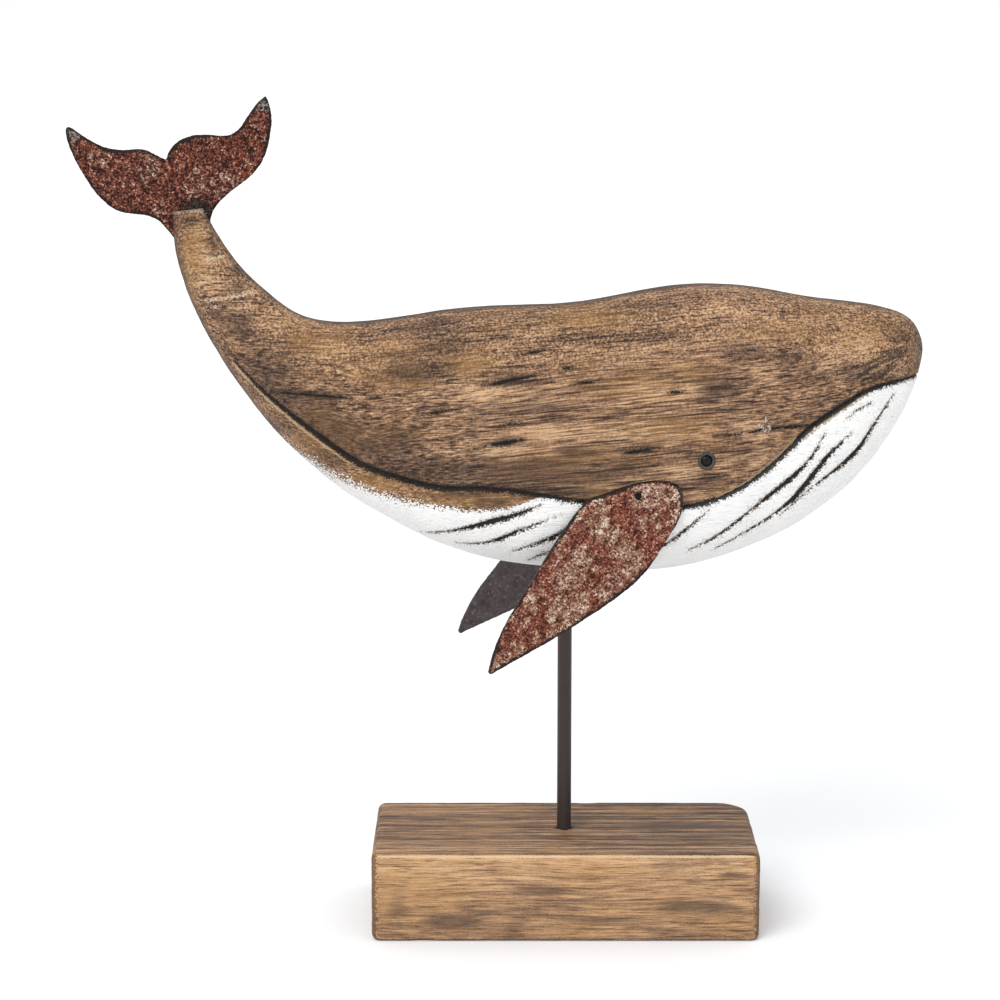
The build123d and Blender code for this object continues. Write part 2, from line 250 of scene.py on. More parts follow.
PALE_STAINS = [
    Patch(-6.0, 52.4, 30.0, 3.6, 1.0),
    Patch(-30.0, 46.2, 10.0, 3.0, 0.8),
    Patch(-34.0, 65.5, 15.0, 3.0, 0.8),
    Patch(26.0, 65.0, 12.0, 3.5, 0.9),
    Patch(62.0, 70.5, 7.0, 3.0, 0.7),
    Patch(62.6, 43.5, 6.0, 3.0, 0.7),
    Patch(34.4, 37.6, 6.0, 3.0, 0.8),
    Patch(50.0, 90.5, 16.0, 3.0, 0.7),
    Patch(-125.4, 119.7, 4.0, 3.0, 0.9),
    Patch(-99.5, 89.5, 8.0, 4.5, 0.6),
    Patch(-86.6, 79.6, 7.0, 4.0, 0.6),
    Patch(59.0, 50.0, 7.0, 4.0, 0.9),
    Patch(98.0, 78.0, 14.0, 8.0, 0.75),
    Patch(-112.0, 97.0, 6.0, 5.0, 0.8),
    Patch(-124.0, 110.0, 8.0, 14.0, 0.6),
    Patch(70.0, 84.0, 18.0, 5.0, 0.4),
]

GOLD_STAINS = [
    Patch(-37.0, 75.0, 10.0, 5.0, 0.8),
    Patch(6.0, 88.5, 18.0, 5.0, 0.7),
    Patch(31.0, 52.0, 17.0, 6.0, 0.6),
    Patch(70.0, 83.0, 22.0, 5.0, 0.6),
    Patch(-88.0, 82.0, 14.0, 6.0, 0.7),
    Patch(-40.0, 29.0, 26.0, 3.0, 0.9),
    Patch(-72.0, 34.0, 18.0, 4.0, 0.9),
    Patch(-128.0, 113.0, 5.0, 12.0, 0.8),
    Patch(100.0, 80.0, 20.0, 5.0, 0.5),
]

KEPT_MARKS = {
    "pleat": PLEATS,
    "crack": CRACKS,
    "chip": CHIPS,
    "scratch": TAIL_SCRATCHES,
    "snout_line": SNOUT_LINES,
}
KEPT_STAINS_AND_SHADE = {"pale_stain": PALE_STAINS, "gold_stain": GOLD_STAINS, "dark_stain_and_shade": DARK_STAINS_AND_SHADE}

# Values that run straight between stops along the whale, each stop a place in mm and its value.
GRAIN_RISE = ((-150.0, 2.4), (-70.0, 0.0), (150.0, 15.4))
# Where the band beside the jaw line is missing, and where it runs above the line; at the rear it is a painted
# highlight on the groove's lower edge, elsewhere bare wood.
LIP_GAP = ((-82.0, 0.0), (-60.0, 1.0), (42.0, 1.0), (58.0, 0.0), (100.0, 0.0), (112.0, 1.0))
LIP_ABOVE = ((44.0, 0.0), (48.0, 1.0), (75.0, 1.0), (79.0, 0.0))
# Strength along the whale of the painted shade, partly a real stain, above the jaw line.
JAW_SHADE = ((-112.0, 0.4), (-100.0, 1.0), (0.0, 0.8), (25.0, 0.0))
NOSE_SHADE = ((117.0, 0.0), (127.0, 0.55))
PAINT_FRAY = ((-90.0, 1.1), (-22.0, 0.8), (-8.0, 0.25))
PAINT_SPECKLE = ((-95.0, 3.4), (-70.0, 2.4), (-40.0, 1.4), (-10.0, 0.2))

# How finely a mark is measured: samples for each place on its line, and the share cut off at its ends.
MARK_SAMPLES = 8
MARK_END = 0.02

# Margin in mm within which a mark is measured, and the distances that stand for outside it.
MARK_MARGIN = 12.0
FAR_OUTSIDE = -1000.0
OUTSIDE = -20.0
JUST_OUTSIDE = -5.0
CLEAN = -9.0


def straight(at: np.ndarray, stops: Stops | Line | np.ndarray) -> np.ndarray:
    """Read a value that runs straight between stops."""
    return np.interp(at, *np.array(stops).T)


def fade(distance: np.ndarray, reach: float) -> np.ndarray:
    """Fall from 1 at no distance to 0 at the reach."""
    return np.clip(1.0 - distance / reach, 0.0, 1.0)


def smooth_curve(points: np.ndarray, count: int) -> np.ndarray:
    """Run a natural cubic spline through points.

    Args:
        points: One row per point.
        count: How many rows to return, evenly spaced along the curve.

    Returns:
        The rows of the smooth curve, first and last point included.
    """
    rows = np.asarray(points, float)
    steps = np.linalg.norm(np.diff(rows, axis=0), axis=1)
    at = np.concatenate([[0.0], np.cumsum(steps)])
    total = len(rows)
    system = np.eye(total)
    right = np.zeros_like(rows)
    for i in range(1, total - 1):
        system[i, i - 1 : i + 2] = steps[i - 1], 2 * (steps[i - 1] + steps[i]), steps[i]
        right[i] = 6 * ((rows[i + 1] - rows[i]) / steps[i] - (rows[i] - rows[i - 1]) / steps[i - 1])
    bend = np.linalg.solve(system, right)
    where = np.linspace(0.0, at[-1], count)
    span = np.clip(np.searchsorted(at, where, side="right") - 1, 0, total - 2)
    step = steps[span][:, None]
    ahead = ((at[span + 1] - where) / steps[span])[:, None]
    behind = 1.0 - ahead
    curve = ahead * rows[span] + behind * rows[span + 1]
    curve += ((ahead**3 - ahead) * bend[span] + (behind**3 - behind) * bend[span + 1]) * step**2 / 6
    return curve


def bezier(corners: Line, count: int) -> np.ndarray:
    """Sample a cubic curve from its four control points.

    Args:
        corners: The four control points.
        count: How many points to return.

    Returns:
        The points, one row each.
    """
    t = np.linspace(0.0, 1.0, count)[:, None]
    a, b, c, d = (np.array(corner) for corner in corners)
    return a * (1 - t) ** 3 + 3 * b * t * (1 - t) ** 2 + 3 * c * t**2 * (1 - t) + d * t**3


def mark_reach(places: np.ndarray, mark: Mark) -> np.ndarray:
    """Measure how deep places lie inside a mark.

    Args:
        places: Places on the flank in mm, one row each.
        mark: The mark, which narrows to both ends.

    Returns:
        Distance in mm inside the mark's edge, negative outside it.
    """
    samples = MARK_SAMPLES * len(mark.line)
    line = smooth_curve(np.array(mark.line), samples)
    share = np.linspace(0.0, 1.0, samples)
    spread = np.interp(share, np.linspace(0.0, 1.0, len(mark.profile)), mark.profile)
    taper = np.sin(np.pi * np.clip(share, MARK_END, 1.0 - MARK_END)) ** mark.blunt
    half = mark.width / 2 * spread * taper
    near = np.ones(len(places), bool)
    for axis in (0, 1):
        low, high = line[:, axis].min() - MARK_MARGIN, line[:, axis].max() + MARK_MARGIN
        near &= (places[:, axis] > low) & (places[:, axis] < high)
    spots = places[near]
    inside = np.full(len(spots), FAR_OUTSIDE)
    for start, end, width in zip(line[:-1], line[1:], half[:-1]):
        run = end - start
        along = np.clip((spots - start) @ run / (run @ run), 0.0, 1.0)[:, None]
        gap = np.linalg.norm(spots - start - along * run, axis=1)
        inside = np.maximum(inside, width - gap)
    reach = np.full(len(places), FAR_OUTSIDE)
    reach[near] = inside
    return reach


def marks_reach(places: np.ndarray, marks: list[Mark]) -> np.ndarray:
    """Measure how deep places lie inside the nearest of several marks, in mm."""
    return np.max([mark_reach(places, mark) for mark in marks], axis=0)


def stain_weight(places: np.ndarray, patches: list[Patch] | tuple[Patch, ...]) -> np.ndarray:
    """Lay soft clouds of stain over places.

    Args:
        places: Places in mm, one row each.
        patches: The clouds.

    Returns:
        How strong the strongest cloud is at each place.
    """
    weight = np.zeros(len(places))
    for patch in patches:
        along = (places[:, 0] - patch.along) / patch.reach
        up = (places[:, 1] - patch.up) / patch.rise
        weight = np.maximum(weight, patch.strength * np.exp(-(along**2) - up**2))
    return weight


def noise_at(points: np.ndarray, scale: Scale) -> np.ndarray:
    """Read smooth noise, from about -1 to 1, at points stretched by a scale per metre."""
    stretched = points * np.array(scale)
    return np.array([noise.noise(Vector(p)) for p in stretched])


def layered_noise(points: np.ndarray, layers: Layers) -> np.ndarray:
    """Add up smooth noise at several scales, each times its share."""
    return sum(noise_at(points, scale) * share for scale, share in layers)


def vectors(rows: bpy.types.bpy_prop_collection, key: str) -> np.ndarray:
    """Read a vector from each item of a mesh's data.

    Args:
        rows: The mesh's items.
        key: What to read from each.

    Returns:
        The vectors, one row each.
    """
    flat = np.empty(len(rows) * 3)
    rows.foreach_get(key, flat)
    return flat.reshape(-1, 3)


def coordinates(mesh: bpy.types.Mesh) -> np.ndarray:
    """Read a mesh's vertices, one row each."""
    return vectors(mesh.vertices, "co")


def normals(mesh: bpy.types.Mesh) -> np.ndarray:
    """Read a mesh's vertex normals, one row each."""
    return vectors(mesh.vertex_normals, "vector")


def move_vertices(mesh: bpy.types.Mesh, points: np.ndarray) -> None:
    """Put a mesh's vertices at new places."""
    mesh.vertices.foreach_set("co", points.astype(np.float32).ravel())
    mesh.update()


def store(mesh: bpy.types.Mesh, kept: dict[str, np.ndarray]) -> None:
    """Keep numbers or vectors for each vertex, for the finish to read.

    Args:
        mesh: The mesh.
        kept: What to keep under each name, one row per vertex.
    """
    for name, values in kept.items():
        kind, key = ("FLOAT", "value") if values.ndim == 1 else ("FLOAT_VECTOR", "vector")
        layer = mesh.attributes.new(name, kind, "POINT")
        layer.data.foreach_set(key, values.astype(np.float32).ravel())


def put_in_scene(name: str, data: bpy.types.ID) -> bpy.types.Object:
    """Put a mesh, light or camera in the scene.

    Args:
        name: The object's name.
        data: What it shows.

    Returns:
        The new object.
    """
    made = bpy.data.objects.new(name, data)
    bpy.context.scene.collection.objects.link(made)
    return made


def dress(piece: bpy.types.Object, finish: bpy.types.Material) -> None:
    """Give a piece its finish."""
    piece.data.materials.clear()
    piece.data.materials.append(finish)


def dress_solid(node: str, finish: bpy.types.Material) -> None:
    """Give a frame solid its finish."""
    dress(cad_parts[node], finish)
    LOG.info("%s: frame solid, dressed", node)


def settle(
    name: str, mesh: bpy.types.Mesh, nodes: list[str], slot: str, finish: bpy.types.Material
) -> None:
    """Make a piece from a mesh and ride it on the figurine, in place of its frame nodes.

    Args:
        name: The piece's name.
        mesh: Its mesh, which is shaded smooth with its sharp edges kept.
        nodes: The frame nodes that it stands for.
        slot: Not used.
        finish: Its finish.
    """
    mesh.shade_smooth()
    mesh.set_sharp_from_angle(angle=SHARP_ANGLE)
    piece = put_in_scene(name, mesh)
    dress(piece, finish)
    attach(piece, "root")
    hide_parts(*nodes)
    LOG.info("%s: %d faces, stands for %s", name, len(mesh.polygons), ", ".join(nodes))


def new_mesh(name: str, skin: bmesh.types.BMesh) -> bpy.types.Mesh:
    """Turn a skin into a mesh and free it.

    Args:
        name: The mesh's name.
        skin: The skin.

    Returns:
        The new mesh.
    """
    mesh = bpy.data.meshes.new(name)
    skin.to_mesh(mesh)
    skin.free()
    return mesh


def baked_mesh(mesh: bpy.types.Mesh, modifiers: list[tuple[str, dict[str, object]]]) -> bpy.types.Mesh:
    """Run a mesh through modifiers.

    Args:
        mesh: The mesh to start from.
        modifiers: Each modifier's type and its settings, in order.

    Returns:
        A new mesh with the modifiers applied.
    """
    holder = put_in_scene("holder", mesh)
    for number, (kind, settings) in enumerate(modifiers):
        modifier = holder.modifiers.new(f"step_{number}", kind)
        for name, value in settings.items():
            setattr(modifier, name, value)
    depsgraph = bpy.context.evaluated_depsgraph_get()
    made = bpy.data.meshes.new_from_object(holder.evaluated_get(depsgraph), depsgraph=depsgraph)
    bpy.data.objects.remove(holder)
    return made


def frame_mesh(node: str, voxel: float) -> bpy.types.Mesh:
    """Copy a frame node's solid as an even mesh of small faces.

    Args:
        node: Name of the frame node.
        voxel: Size of the small faces.

    Returns:
        The new mesh, in the frame's own place.
    """
    weld = ("WELD", {"merge_threshold": FRAME_WELD_GAP})
    remesh = ("REMESH", {"mode": "VOXEL", "voxel_size": voxel})
    return baked_mesh(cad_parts[node].data.copy(), [weld, remesh])


class Graph:
    """Adds linked shader nodes to one node tree."""

    def __init__(self, tree: bpy.types.NodeTree) -> None:
        """Keep the tree that the nodes go into."""
        self.tree = tree

    def add(self, kind: str, inputs: dict[str | int, Feed], **options: object) -> bpy.types.Node:
        """Add one node.

        Args:
            kind: Blender's name for the node, without its prefix.
            inputs: A value or a socket for each input that is fed.
            options: The node's own settings.

        Returns:
            The new node.
        """
        node = self.tree.nodes.new("ShaderNode" + kind)
        for name, option in options.items():
            setattr(node, name, option)
        for key, value in inputs.items():
            self.feed(node.inputs[key], value)
        return node

    def feed(self, socket: bpy.types.NodeSocket, value: Feed) -> None:
        """Link a socket to an input, or set the input's own value.

        Args:
            socket: The input.
            value: What it gets.
        """
        if isinstance(value, bpy.types.NodeSocket):
            self.tree.links.new(value, socket)
        elif socket.type == "RGBA":
            socket.default_value = (*value[:3], 1.0)
        else:
            socket.default_value = value

    def math(self, operation: str, first: Feed, second: Feed = 0.0) -> bpy.types.NodeSocket:
        """Work out one sum."""
        return self.add("Math", {0: first, 1: second}, operation=operation).outputs[0]

    def total(self, terms: list[tuple[Feed, Feed]]) -> bpy.types.NodeSocket:
        """Add up values.

        Args:
            terms: Each value and its share.

        Returns:
            The sum of the values times their shares.
        """
        running: Feed = 0.0
        for value, share in terms:
            inputs = {0: value, 1: share, 2: running}
            running = self.add("Math", inputs, operation="MULTIPLY_ADD").outputs[0]
        return running

    def add_scaled(self, vector: Feed, scale: Scale, base: Feed) -> bpy.types.NodeSocket:
        """Multiply a vector by a scale and add it to another."""
        return self.add("VectorMath", {0: vector, 1: scale, 2: base}, operation="MULTIPLY_ADD").outputs[0]

    def remap(
        self, value: Feed, low: float, high: float, start: float = 0.0, end: float = 1.0
    ) -> bpy.types.NodeSocket:
        """Map low and high to start and end, and stop there."""
        inputs = {"Value": value, "From Min": low, "From Max": high, "To Min": start, "To Max": end}
        return self.add("MapRange", inputs).outputs[0]

    def mix(self, share: Feed, under: Feed, over: Feed, blend: str = "MIX") -> bpy.types.NodeSocket:
        """Lay one colour over another by a share."""
        inputs = {0: share, 6: under, 7: over}
        return self.add("Mix", inputs, data_type="RGBA", blend_type=blend).outputs[2]

    def ramp(self, value: Feed, stops: Tones) -> bpy.types.NodeSocket:
        """Turn a value into a colour.

        Args:
            value: The value.
            stops: Values and their colours, in order.

        Returns:
            The colour.
        """
        node = self.add("ValToRGB", {0: value})
        elements = node.color_ramp.elements
        while len(elements) < len(stops):
            elements.new(1.0)
        for element, (position, colour) in zip(elements, stops):
            element.position = position
            element.color = (*colour, 1.0)
        return node.outputs[0]

    def stretch(self, vector: Feed, scale: Scale) -> bpy.types.NodeSocket:
        """Stretch coordinates by a scale per metre."""
        return self.add("VectorMath", {0: vector, 1: scale}, operation="MULTIPLY").outputs[0]

    def noise(
        self, vector: Feed, scale: Feed = 1.0, detail: float = 3.0, rough: float = 0.55
    ) -> bpy.types.NodeSocket:
        """Read cloudy noise from 0 to 1."""
        inputs = {"Vector": vector, "Scale": scale, "Detail": detail, "Roughness": rough}
        return self.add("TexNoise", inputs).outputs[0]

    def stipple(self, vector: Feed, scale: float) -> bpy.types.NodeSocket:
        """Read fine dots at a scale per metre."""
        return self.remap(self.noise(vector, scale=scale, detail=2.0, rough=0.6), 0.35, 0.65)

    def kept(self, name: str, vector: bool = False) -> bpy.types.NodeSocket:
        """Read what the mesh keeps for each vertex under a name."""
        node = self.add("Attribute", {}, attribute_name=name)
        return node.outputs["Vector" if vector else "Fac"]

    def place(self) -> bpy.types.NodeSocket:
        """Read the piece's own coordinates in metres."""
        return self.add("TexCoord", {}).outputs["Object"]

    def group(self, tree: bpy.types.NodeTree, inputs: dict[str | int, Feed]) -> bpy.types.Node:
        """Place a shared effect with its own values."""
        return self.add("Group", inputs, node_tree=tree)


@dataclass(frozen=True)
class Thread:
    """One layer of noise in the wood: its scale per metre, detail and roughness, and the range it keeps."""

    scale: Scale
    detail: float
    rough: float
    low: float
    high: float


GRAIN_THREADS = {
    "Figure": Thread((13, 190, 190), 6.0, 0.7, 0.34, 0.66),
    "Fibre": Thread((75, 1800, 1800), 3.0, 0.62, 0.34, 0.66),
    "Hatch": Thread((38, 1500, 1500), 2.0, 0.6, 0.54, 0.68),
    "Pores": Thread((150, 2300, 2300), 1.0, 0.55, 0.56, 0.68),
    "Stain": Thread((24, 52, 52), 5.0, 0.62, 0.36, 0.64),
}


@dataclass(frozen=True)
class Edge:
    """A ragged edge that the mesh keeps the distance to.

    It moves out by its growth, wanders by its fray and throws grains as far as its speckle, all in mm.
    """

    kept: str
    grow: float
    fray: float
    speckle: float
    share: float = 1.0


Coats = tuple[tuple[Edge, Colour], ...]


class SharedEffects:
    """Node groups that more than one finish uses, built once."""

    def __init__(self) -> None:
        """Build each group."""
        self.grain = self._grain()
        self.ragged = self._ragged()
        self.grit = self._grit()

    def mask(self, graph: Graph, place: Feed, edge: Edge) -> bpy.types.NodeSocket:
        """Mask what lies inside a ragged edge.

        Args:
            graph: The finish's graph.
            place: The coordinates that the edge's noise follows.
            edge: The edge.

        Returns:
            The mask, as strong as the edge's share.
        """
        reach = graph.math("ADD", graph.kept(edge.kept), edge.grow)
        inputs = {"Reach": reach, "Fray": edge.fray, "Speckle": edge.speckle, "Vector": place}
        return graph.math("MULTIPLY", graph.group(self.ragged, inputs).outputs[0], edge.share)

    def lay(self, graph: Graph, place: Feed, colour: Feed, coats: Coats) -> bpy.types.NodeSocket:
        """Lay coats of colour inside their ragged edges.

        Args:
            graph: The finish's graph.
            place: The coordinates that the edges' noise follows.
            colour: The colour under the coats.
            coats: Each coat's edge and colour, in order.

        Returns:
            The colour with the coats on it.
        """
        for edge, coat in coats:
            colour = graph.mix(self.mask(graph, place, edge), colour, coat)
        return colour

    @staticmethod
    def _new(
        name: str, sockets: list[tuple[str, str, Direction]]
    ) -> tuple[Graph, bpy.types.Node, bpy.types.Node]:
        """Start a group.

        Args:
            name: The group's name.
            sockets: Name, kind and direction of each socket.

        Returns:
            The group's graph, its input node and its output node.
        """
        tree = bpy.data.node_groups.new(name, "ShaderNodeTree")
        for socket, kind, direction in sockets:
            tree.interface.new_socket(socket, in_out=direction.value, socket_type="NodeSocket" + kind)
        graph = Graph(tree)
        return graph, tree.nodes.new("NodeGroupInput"), tree.nodes.new("NodeGroupOutput")

    def _grain(self) -> bpy.types.NodeTree:
        """Build wood grain along X.

        Returns:
            The group, which gives broad figure, fine fibre, dark hatch, open pores and cloudy stain.
        """
        sockets = [("Vector", "Vector", Direction.IN)]
        sockets += [(name, "Float", Direction.OUT) for name in GRAIN_THREADS]
        graph, entry, exit_node = self._new("wood_grain", sockets)
        vector = entry.outputs["Vector"]
        sway = graph.add("TexNoise", {"Vector": vector, "Scale": 16.0, "Detail": 1.0})
        vector = graph.add_scaled(sway.outputs[1], (0.0, 0.004, 0.004), vector)
        for name, thread in GRAIN_THREADS.items():
            value = graph.noise(graph.stretch(vector, thread.scale), detail=thread.detail, rough=thread.rough)
            graph.feed(exit_node.inputs[name], graph.remap(value, thread.low, thread.high))
        return graph.tree

    def _ragged(self) -> bpy.types.NodeTree:
        """Build an edge that noise frays and speckles.

        Returns:
            The group, which gives a mask from how deep a place lies inside the edge in mm.
        """
        inputs = [("Reach", "Float"), ("Fray", "Float"), ("Speckle", "Float"), ("Vector", "Vector")]
        sockets = [(name, kind, Direction.IN) for name, kind in inputs] + [("Mask", "Float", Direction.OUT)]
        graph, entry, exit_node = self._new("ragged_edge", sockets)
        vector = entry.outputs["Vector"]
        coarse = graph.noise(vector, scale=420.0, detail=4.0, rough=0.7)
        fine = graph.noise(vector, scale=1700.0, detail=2.0)
        wander = graph.total([(coarse, 3.2), (fine, 1.8), (1.0, -2.5)])
        grains = graph.remap(graph.noise(vector, scale=1600.0, detail=1.0), 0.32, 0.68, -1.0, 1.0)
        edge = graph.total([
            (entry.outputs["Reach"], 1.0),
            (wander, entry.outputs["Fray"]),
            (grains, entry.outputs["Speckle"]),
        ])
        graph.feed(exit_node.inputs["Mask"], graph.remap(edge, -0.12, 0.12))
        return graph.tree

    def _grit(self) -> bpy.types.NodeTree:
        """Build a crust of fine grains.

        Returns:
            The group, which gives each grain's tone and its height.
        """
        sockets = [
            ("Vector", "Vector", Direction.IN),
            ("Scale", "Float", Direction.IN),
            ("Tone", "Float", Direction.OUT),
            ("Height", "Float", Direction.OUT),
        ]
        graph, entry, exit_node = self._new("grit_crust", sockets)
        vector, scale = entry.outputs["Vector"], entry.outputs["Scale"]
        warp = graph.add("TexNoise", {"Vector": vector, "Scale": scale, "Detail": 2.0})
        vector = graph.add_scaled(warp.outputs[1], (0.0002, 0.0002, 0.0002), vector)
        cells = graph.add("TexVoronoi", {"Vector": vector, "Scale": scale})
        tone = graph.add("SeparateColor", {0: cells.outputs["Color"]}).outputs[0]
        dust = graph.noise(vector, scale=scale, detail=3.0, rough=0.7)
        blend = graph.total([(tone, 0.6), (dust, 1.0), (1.0, -0.3)])
        graph.feed(exit_node.inputs["Tone"], graph.remap(blend, 0.1, 0.9))
        dome = graph.remap(cells.outputs["Distance"], 0.0, 0.7, 1.0, 0.0)
        graph.feed(exit_node.inputs["Height"], graph.total([(dome, 0.6), (dust, 0.6)]))
        return graph.tree


def start_finish(name: str) -> tuple[bpy.types.Material, Graph, bpy.types.Node]:
    """Start a material.

    Args:
        name: The finish's name.

    Returns:
        The material, its graph and its Principled shader.
    """
    material = bpy.data.materials.new(name)
    material.use_nodes = True
    return material, Graph(material.node_tree), material.node_tree.nodes["Principled BSDF"]


def cover(graph: Graph, shader: bpy.types.Node, colour: Feed, rough: Feed, gloss: float) -> None:
    """Give a shader its colour, roughness and specular level."""
    for socket, value in (("Base Color", colour), ("Roughness", rough), ("Specular IOR Level", gloss)):
        graph.feed(shader.inputs[socket], value)


def raise_bump(graph: Graph, shader: bpy.types.Node, height: Feed, depth: float) -> None:
    """Let a height from 0 to 1 tilt the shading, as deep as the depth in metres."""
    bump = graph.add("Bump", {"Strength": 1.0, "Distance": depth, "Height": height})
    graph.feed(shader.inputs["Normal"], bump.outputs[0])


@dataclass(frozen=True)
class WoodTones:
    """Colours of one stained board: its fibres from the darkest up, its golden stain and its pores."""

    stops: Tones
    gold: Colour
    pore: Colour

    def gild(self, graph: Graph, colour: Feed, glow: Feed) -> bpy.types.NodeSocket:
        """Let the golden stain glow through a colour."""
        return graph.mix(glow, colour, graph.mix(0.6, colour, self.gold))


BODY_TONES = WoodTones(
    stops=(
        (0.05, (0.024, 0.012, 0.008)),
        (0.28, (0.098, 0.050, 0.028)),
        (0.50, (0.225, 0.122, 0.067)),
        (0.72, (0.380, 0.218, 0.119)),
        (0.95, (0.580, 0.368, 0.206)),
    ),
    gold=(0.345, 0.180, 0.056),
    pore=(0.022, 0.012, 0.008),
)

BASE_TONES = WoodTones(
    stops=(
        (0.05, (0.042, 0.023, 0.014)),
        (0.28, (0.140, 0.077, 0.042)),
        (0.50, (0.310, 0.175, 0.092)),
        (0.72, (0.470, 0.274, 0.140)),
        (0.95, (0.640, 0.412, 0.225)),
    ),
    gold=(0.470, 0.255, 0.090),
    pore=(0.034, 0.019, 0.012),
)

INK = (0.010, 0.008, 0.007)
INKED_PLEATS = Edge("pleat", -0.25, 0.6, 0.35)

# Coats over the bare wood of the body.
WEATHER_COATS = (
    (Edge("scratch", 0.0, 0.7, 0.5, 0.85), (0.60, 0.45, 0.31)),
    (Edge("snout_line", 0.1, 0.4, 0.3, 0.8), BODY_TONES.pore),
    (Edge("crack", 0.8, 1.1, 0.5, 0.42), BODY_TONES.pore),
    (Edge("crack", 0.0, 0.35, 0.2), INK),
    (Edge("chip", 0.0, 0.5, 0.4, 0.85), (0.58, 0.52, 0.43)),
)

# Coats over the paint: in the body's cuts, beside the jaw line (bare wood, and at the rear a painted
# highlight on the groove's lower edge) and at the tail's glued end.
CUT_COATS = (
    (Edge("pleat", -0.5, 0.5, 2.4, 0.4), (0.24, 0.165, 0.105)),
    (Edge("pleat", 0.15, 0.7, 0.5, 0.7), (0.20, 0.135, 0.085)),
    (INKED_PLEATS, INK),
    (Edge("jaw", 0.4, 0.9, 0.7, 0.5), BODY_TONES.pore),
    (Edge("jaw", -0.05, 0.45, 0.4, 0.95), INK),
    (Edge("lip", 0.0, 0.3, 0.25, 0.7), (0.50, 0.35, 0.21)),
    (Edge("glue", -0.5, 1.3, 0.9, 0.8), (0.42, 0.34, 0.26)),
)

# Coats on the block: its front edge pale from wear and a painted highlight; darker round its hole; painted
# shade down its front corners and along its foot.
BLOCK_COATS = (
    (Edge("worn", 0.0, 0.35, 0.25, 0.9), (0.66, 0.47, 0.28)),
    (Edge("shade_and_hole_ring", 0.0, 0.8, 1.2, 0.6), BASE_TONES.pore),
)


@dataclass(frozen=True)
class CarvedWood:
    """Stained wood of the body, with white paint below the jaw line and black in its cuts."""

    effects: SharedEffects
    tones: WoodTones = BODY_TONES
    dark_tint: Colour = (0.40, 0.39, 0.43)
    white: Colour = (0.88, 0.873, 0.855)
    grey_white: Colour = (0.80, 0.80, 0.80)
    gloss: float = 0.3
    relief: float = 0.4 * MM
    name: str = "painted_body_wood"

    def wood(self, graph: Graph, grain: bpy.types.Node) -> bpy.types.NodeSocket:
        """Colour the bare stained board.

        Args:
            graph: The finish's graph.
            grain: The grain group's node.

        Returns:
            The colour.
        """
        figure, fibre, hatch, pores, stain = (grain.outputs[name] for name in GRAIN_THREADS)
        kept = graph.kept
        stipple = graph.stipple(kept("grain", vector=True), 1200.0)
        threads = graph.add("Mix", {0: kept("crest"), 2: fibre, 3: stipple}).outputs[0]
        tone = graph.total([
            (figure, 0.3), (threads, 0.74), (stipple, 0.26), (hatch, -0.48), (kept("pale_stain"), 0.38),
            (1.0, -0.09),
        ])
        colour = graph.ramp(tone, self.tones.stops)
        glow = graph.remap(stain, 0.55, 1.0, 0.0, 0.6)
        glow = graph.math("MAXIMUM", glow, self.broken(graph, kept("gold_stain"), fibre))
        colour = self.tones.gild(graph, colour, glow)
        cloud = graph.remap(graph.total([(stain, 1.0), (kept("pale_stain"), 0.4)]), 0.4, 0.0, 0.0, 0.5)
        # The dark stains also carry painted shade above the jaw line and along one crack.
        cloud = graph.math("MAXIMUM", cloud, self.broken(graph, kept("dark_stain_and_shade"), figure))
        colour = graph.mix(cloud, colour, self.dark_tint, "MULTIPLY")
        colour = graph.mix(graph.math("MULTIPLY", pores, 0.6), colour, self.tones.pore)
        # Painted shade along the top of the back and at the snout's tip.
        return graph.mix(kept("ridge_shade"), colour, self.tones.pore)

    def broken(self, graph: Graph, weight: Feed, by: Feed) -> bpy.types.NodeSocket:
        """Break a soft cloud up along the grain."""
        return graph.remap(graph.total([(weight, 1.3), (by, -0.45)]), 0.05, 0.75, 0.0, 0.9)

    def make(self) -> bpy.types.Material:
        """Build the finish.

        Returns:
            The material.
        """
        material, graph, shader = start_finish(self.name)
        place = graph.kept("whale", vector=True)
        grain = graph.group(self.effects.grain, {"Vector": graph.kept("grain", vector=True)})
        figure, fibre, hatch = (grain.outputs[name] for name in ("Figure", "Fibre", "Hatch"))
        colour = self.effects.lay(graph, place, self.wood(graph, grain), WEATHER_COATS)

        inputs = {"Reach": "paint", "Fray": "paint_fray", "Speckle": "paint_speckle"}
        feeds = {socket: graph.kept(name) for socket, name in inputs.items()}
        paint = graph.group(self.effects.ragged, {**feeds, "Vector": place}).outputs[0]
        specks = graph.remap(graph.noise(place, scale=1300.0, detail=3.0, rough=0.7), 0.67, 0.72)
        paint = graph.math("MULTIPLY", paint, graph.remap(specks, 0.0, 1.0, 1.0, 0.35))
        shades = graph.remap(graph.noise(place, scale=90.0, detail=4.0), 0.3, 0.7)
        colour = graph.mix(paint, colour, graph.mix(shades, self.grey_white, self.white))
        colour = self.effects.lay(graph, place, colour, CUT_COATS)

        rough = graph.total([(fibre, 0.18), (paint, -0.06), (1.0, 0.55)])
        cover(graph, shader, colour, rough, self.gloss)
        inked = self.effects.mask(graph, place, INKED_PLEATS)
        height = graph.total([
            (fibre, 0.45), (hatch, -0.35), (figure, 0.2), (paint, 0.25), (specks, -0.2), (inked, -0.2),
        ])
        raise_bump(graph, shader, height, self.relief)
        return material


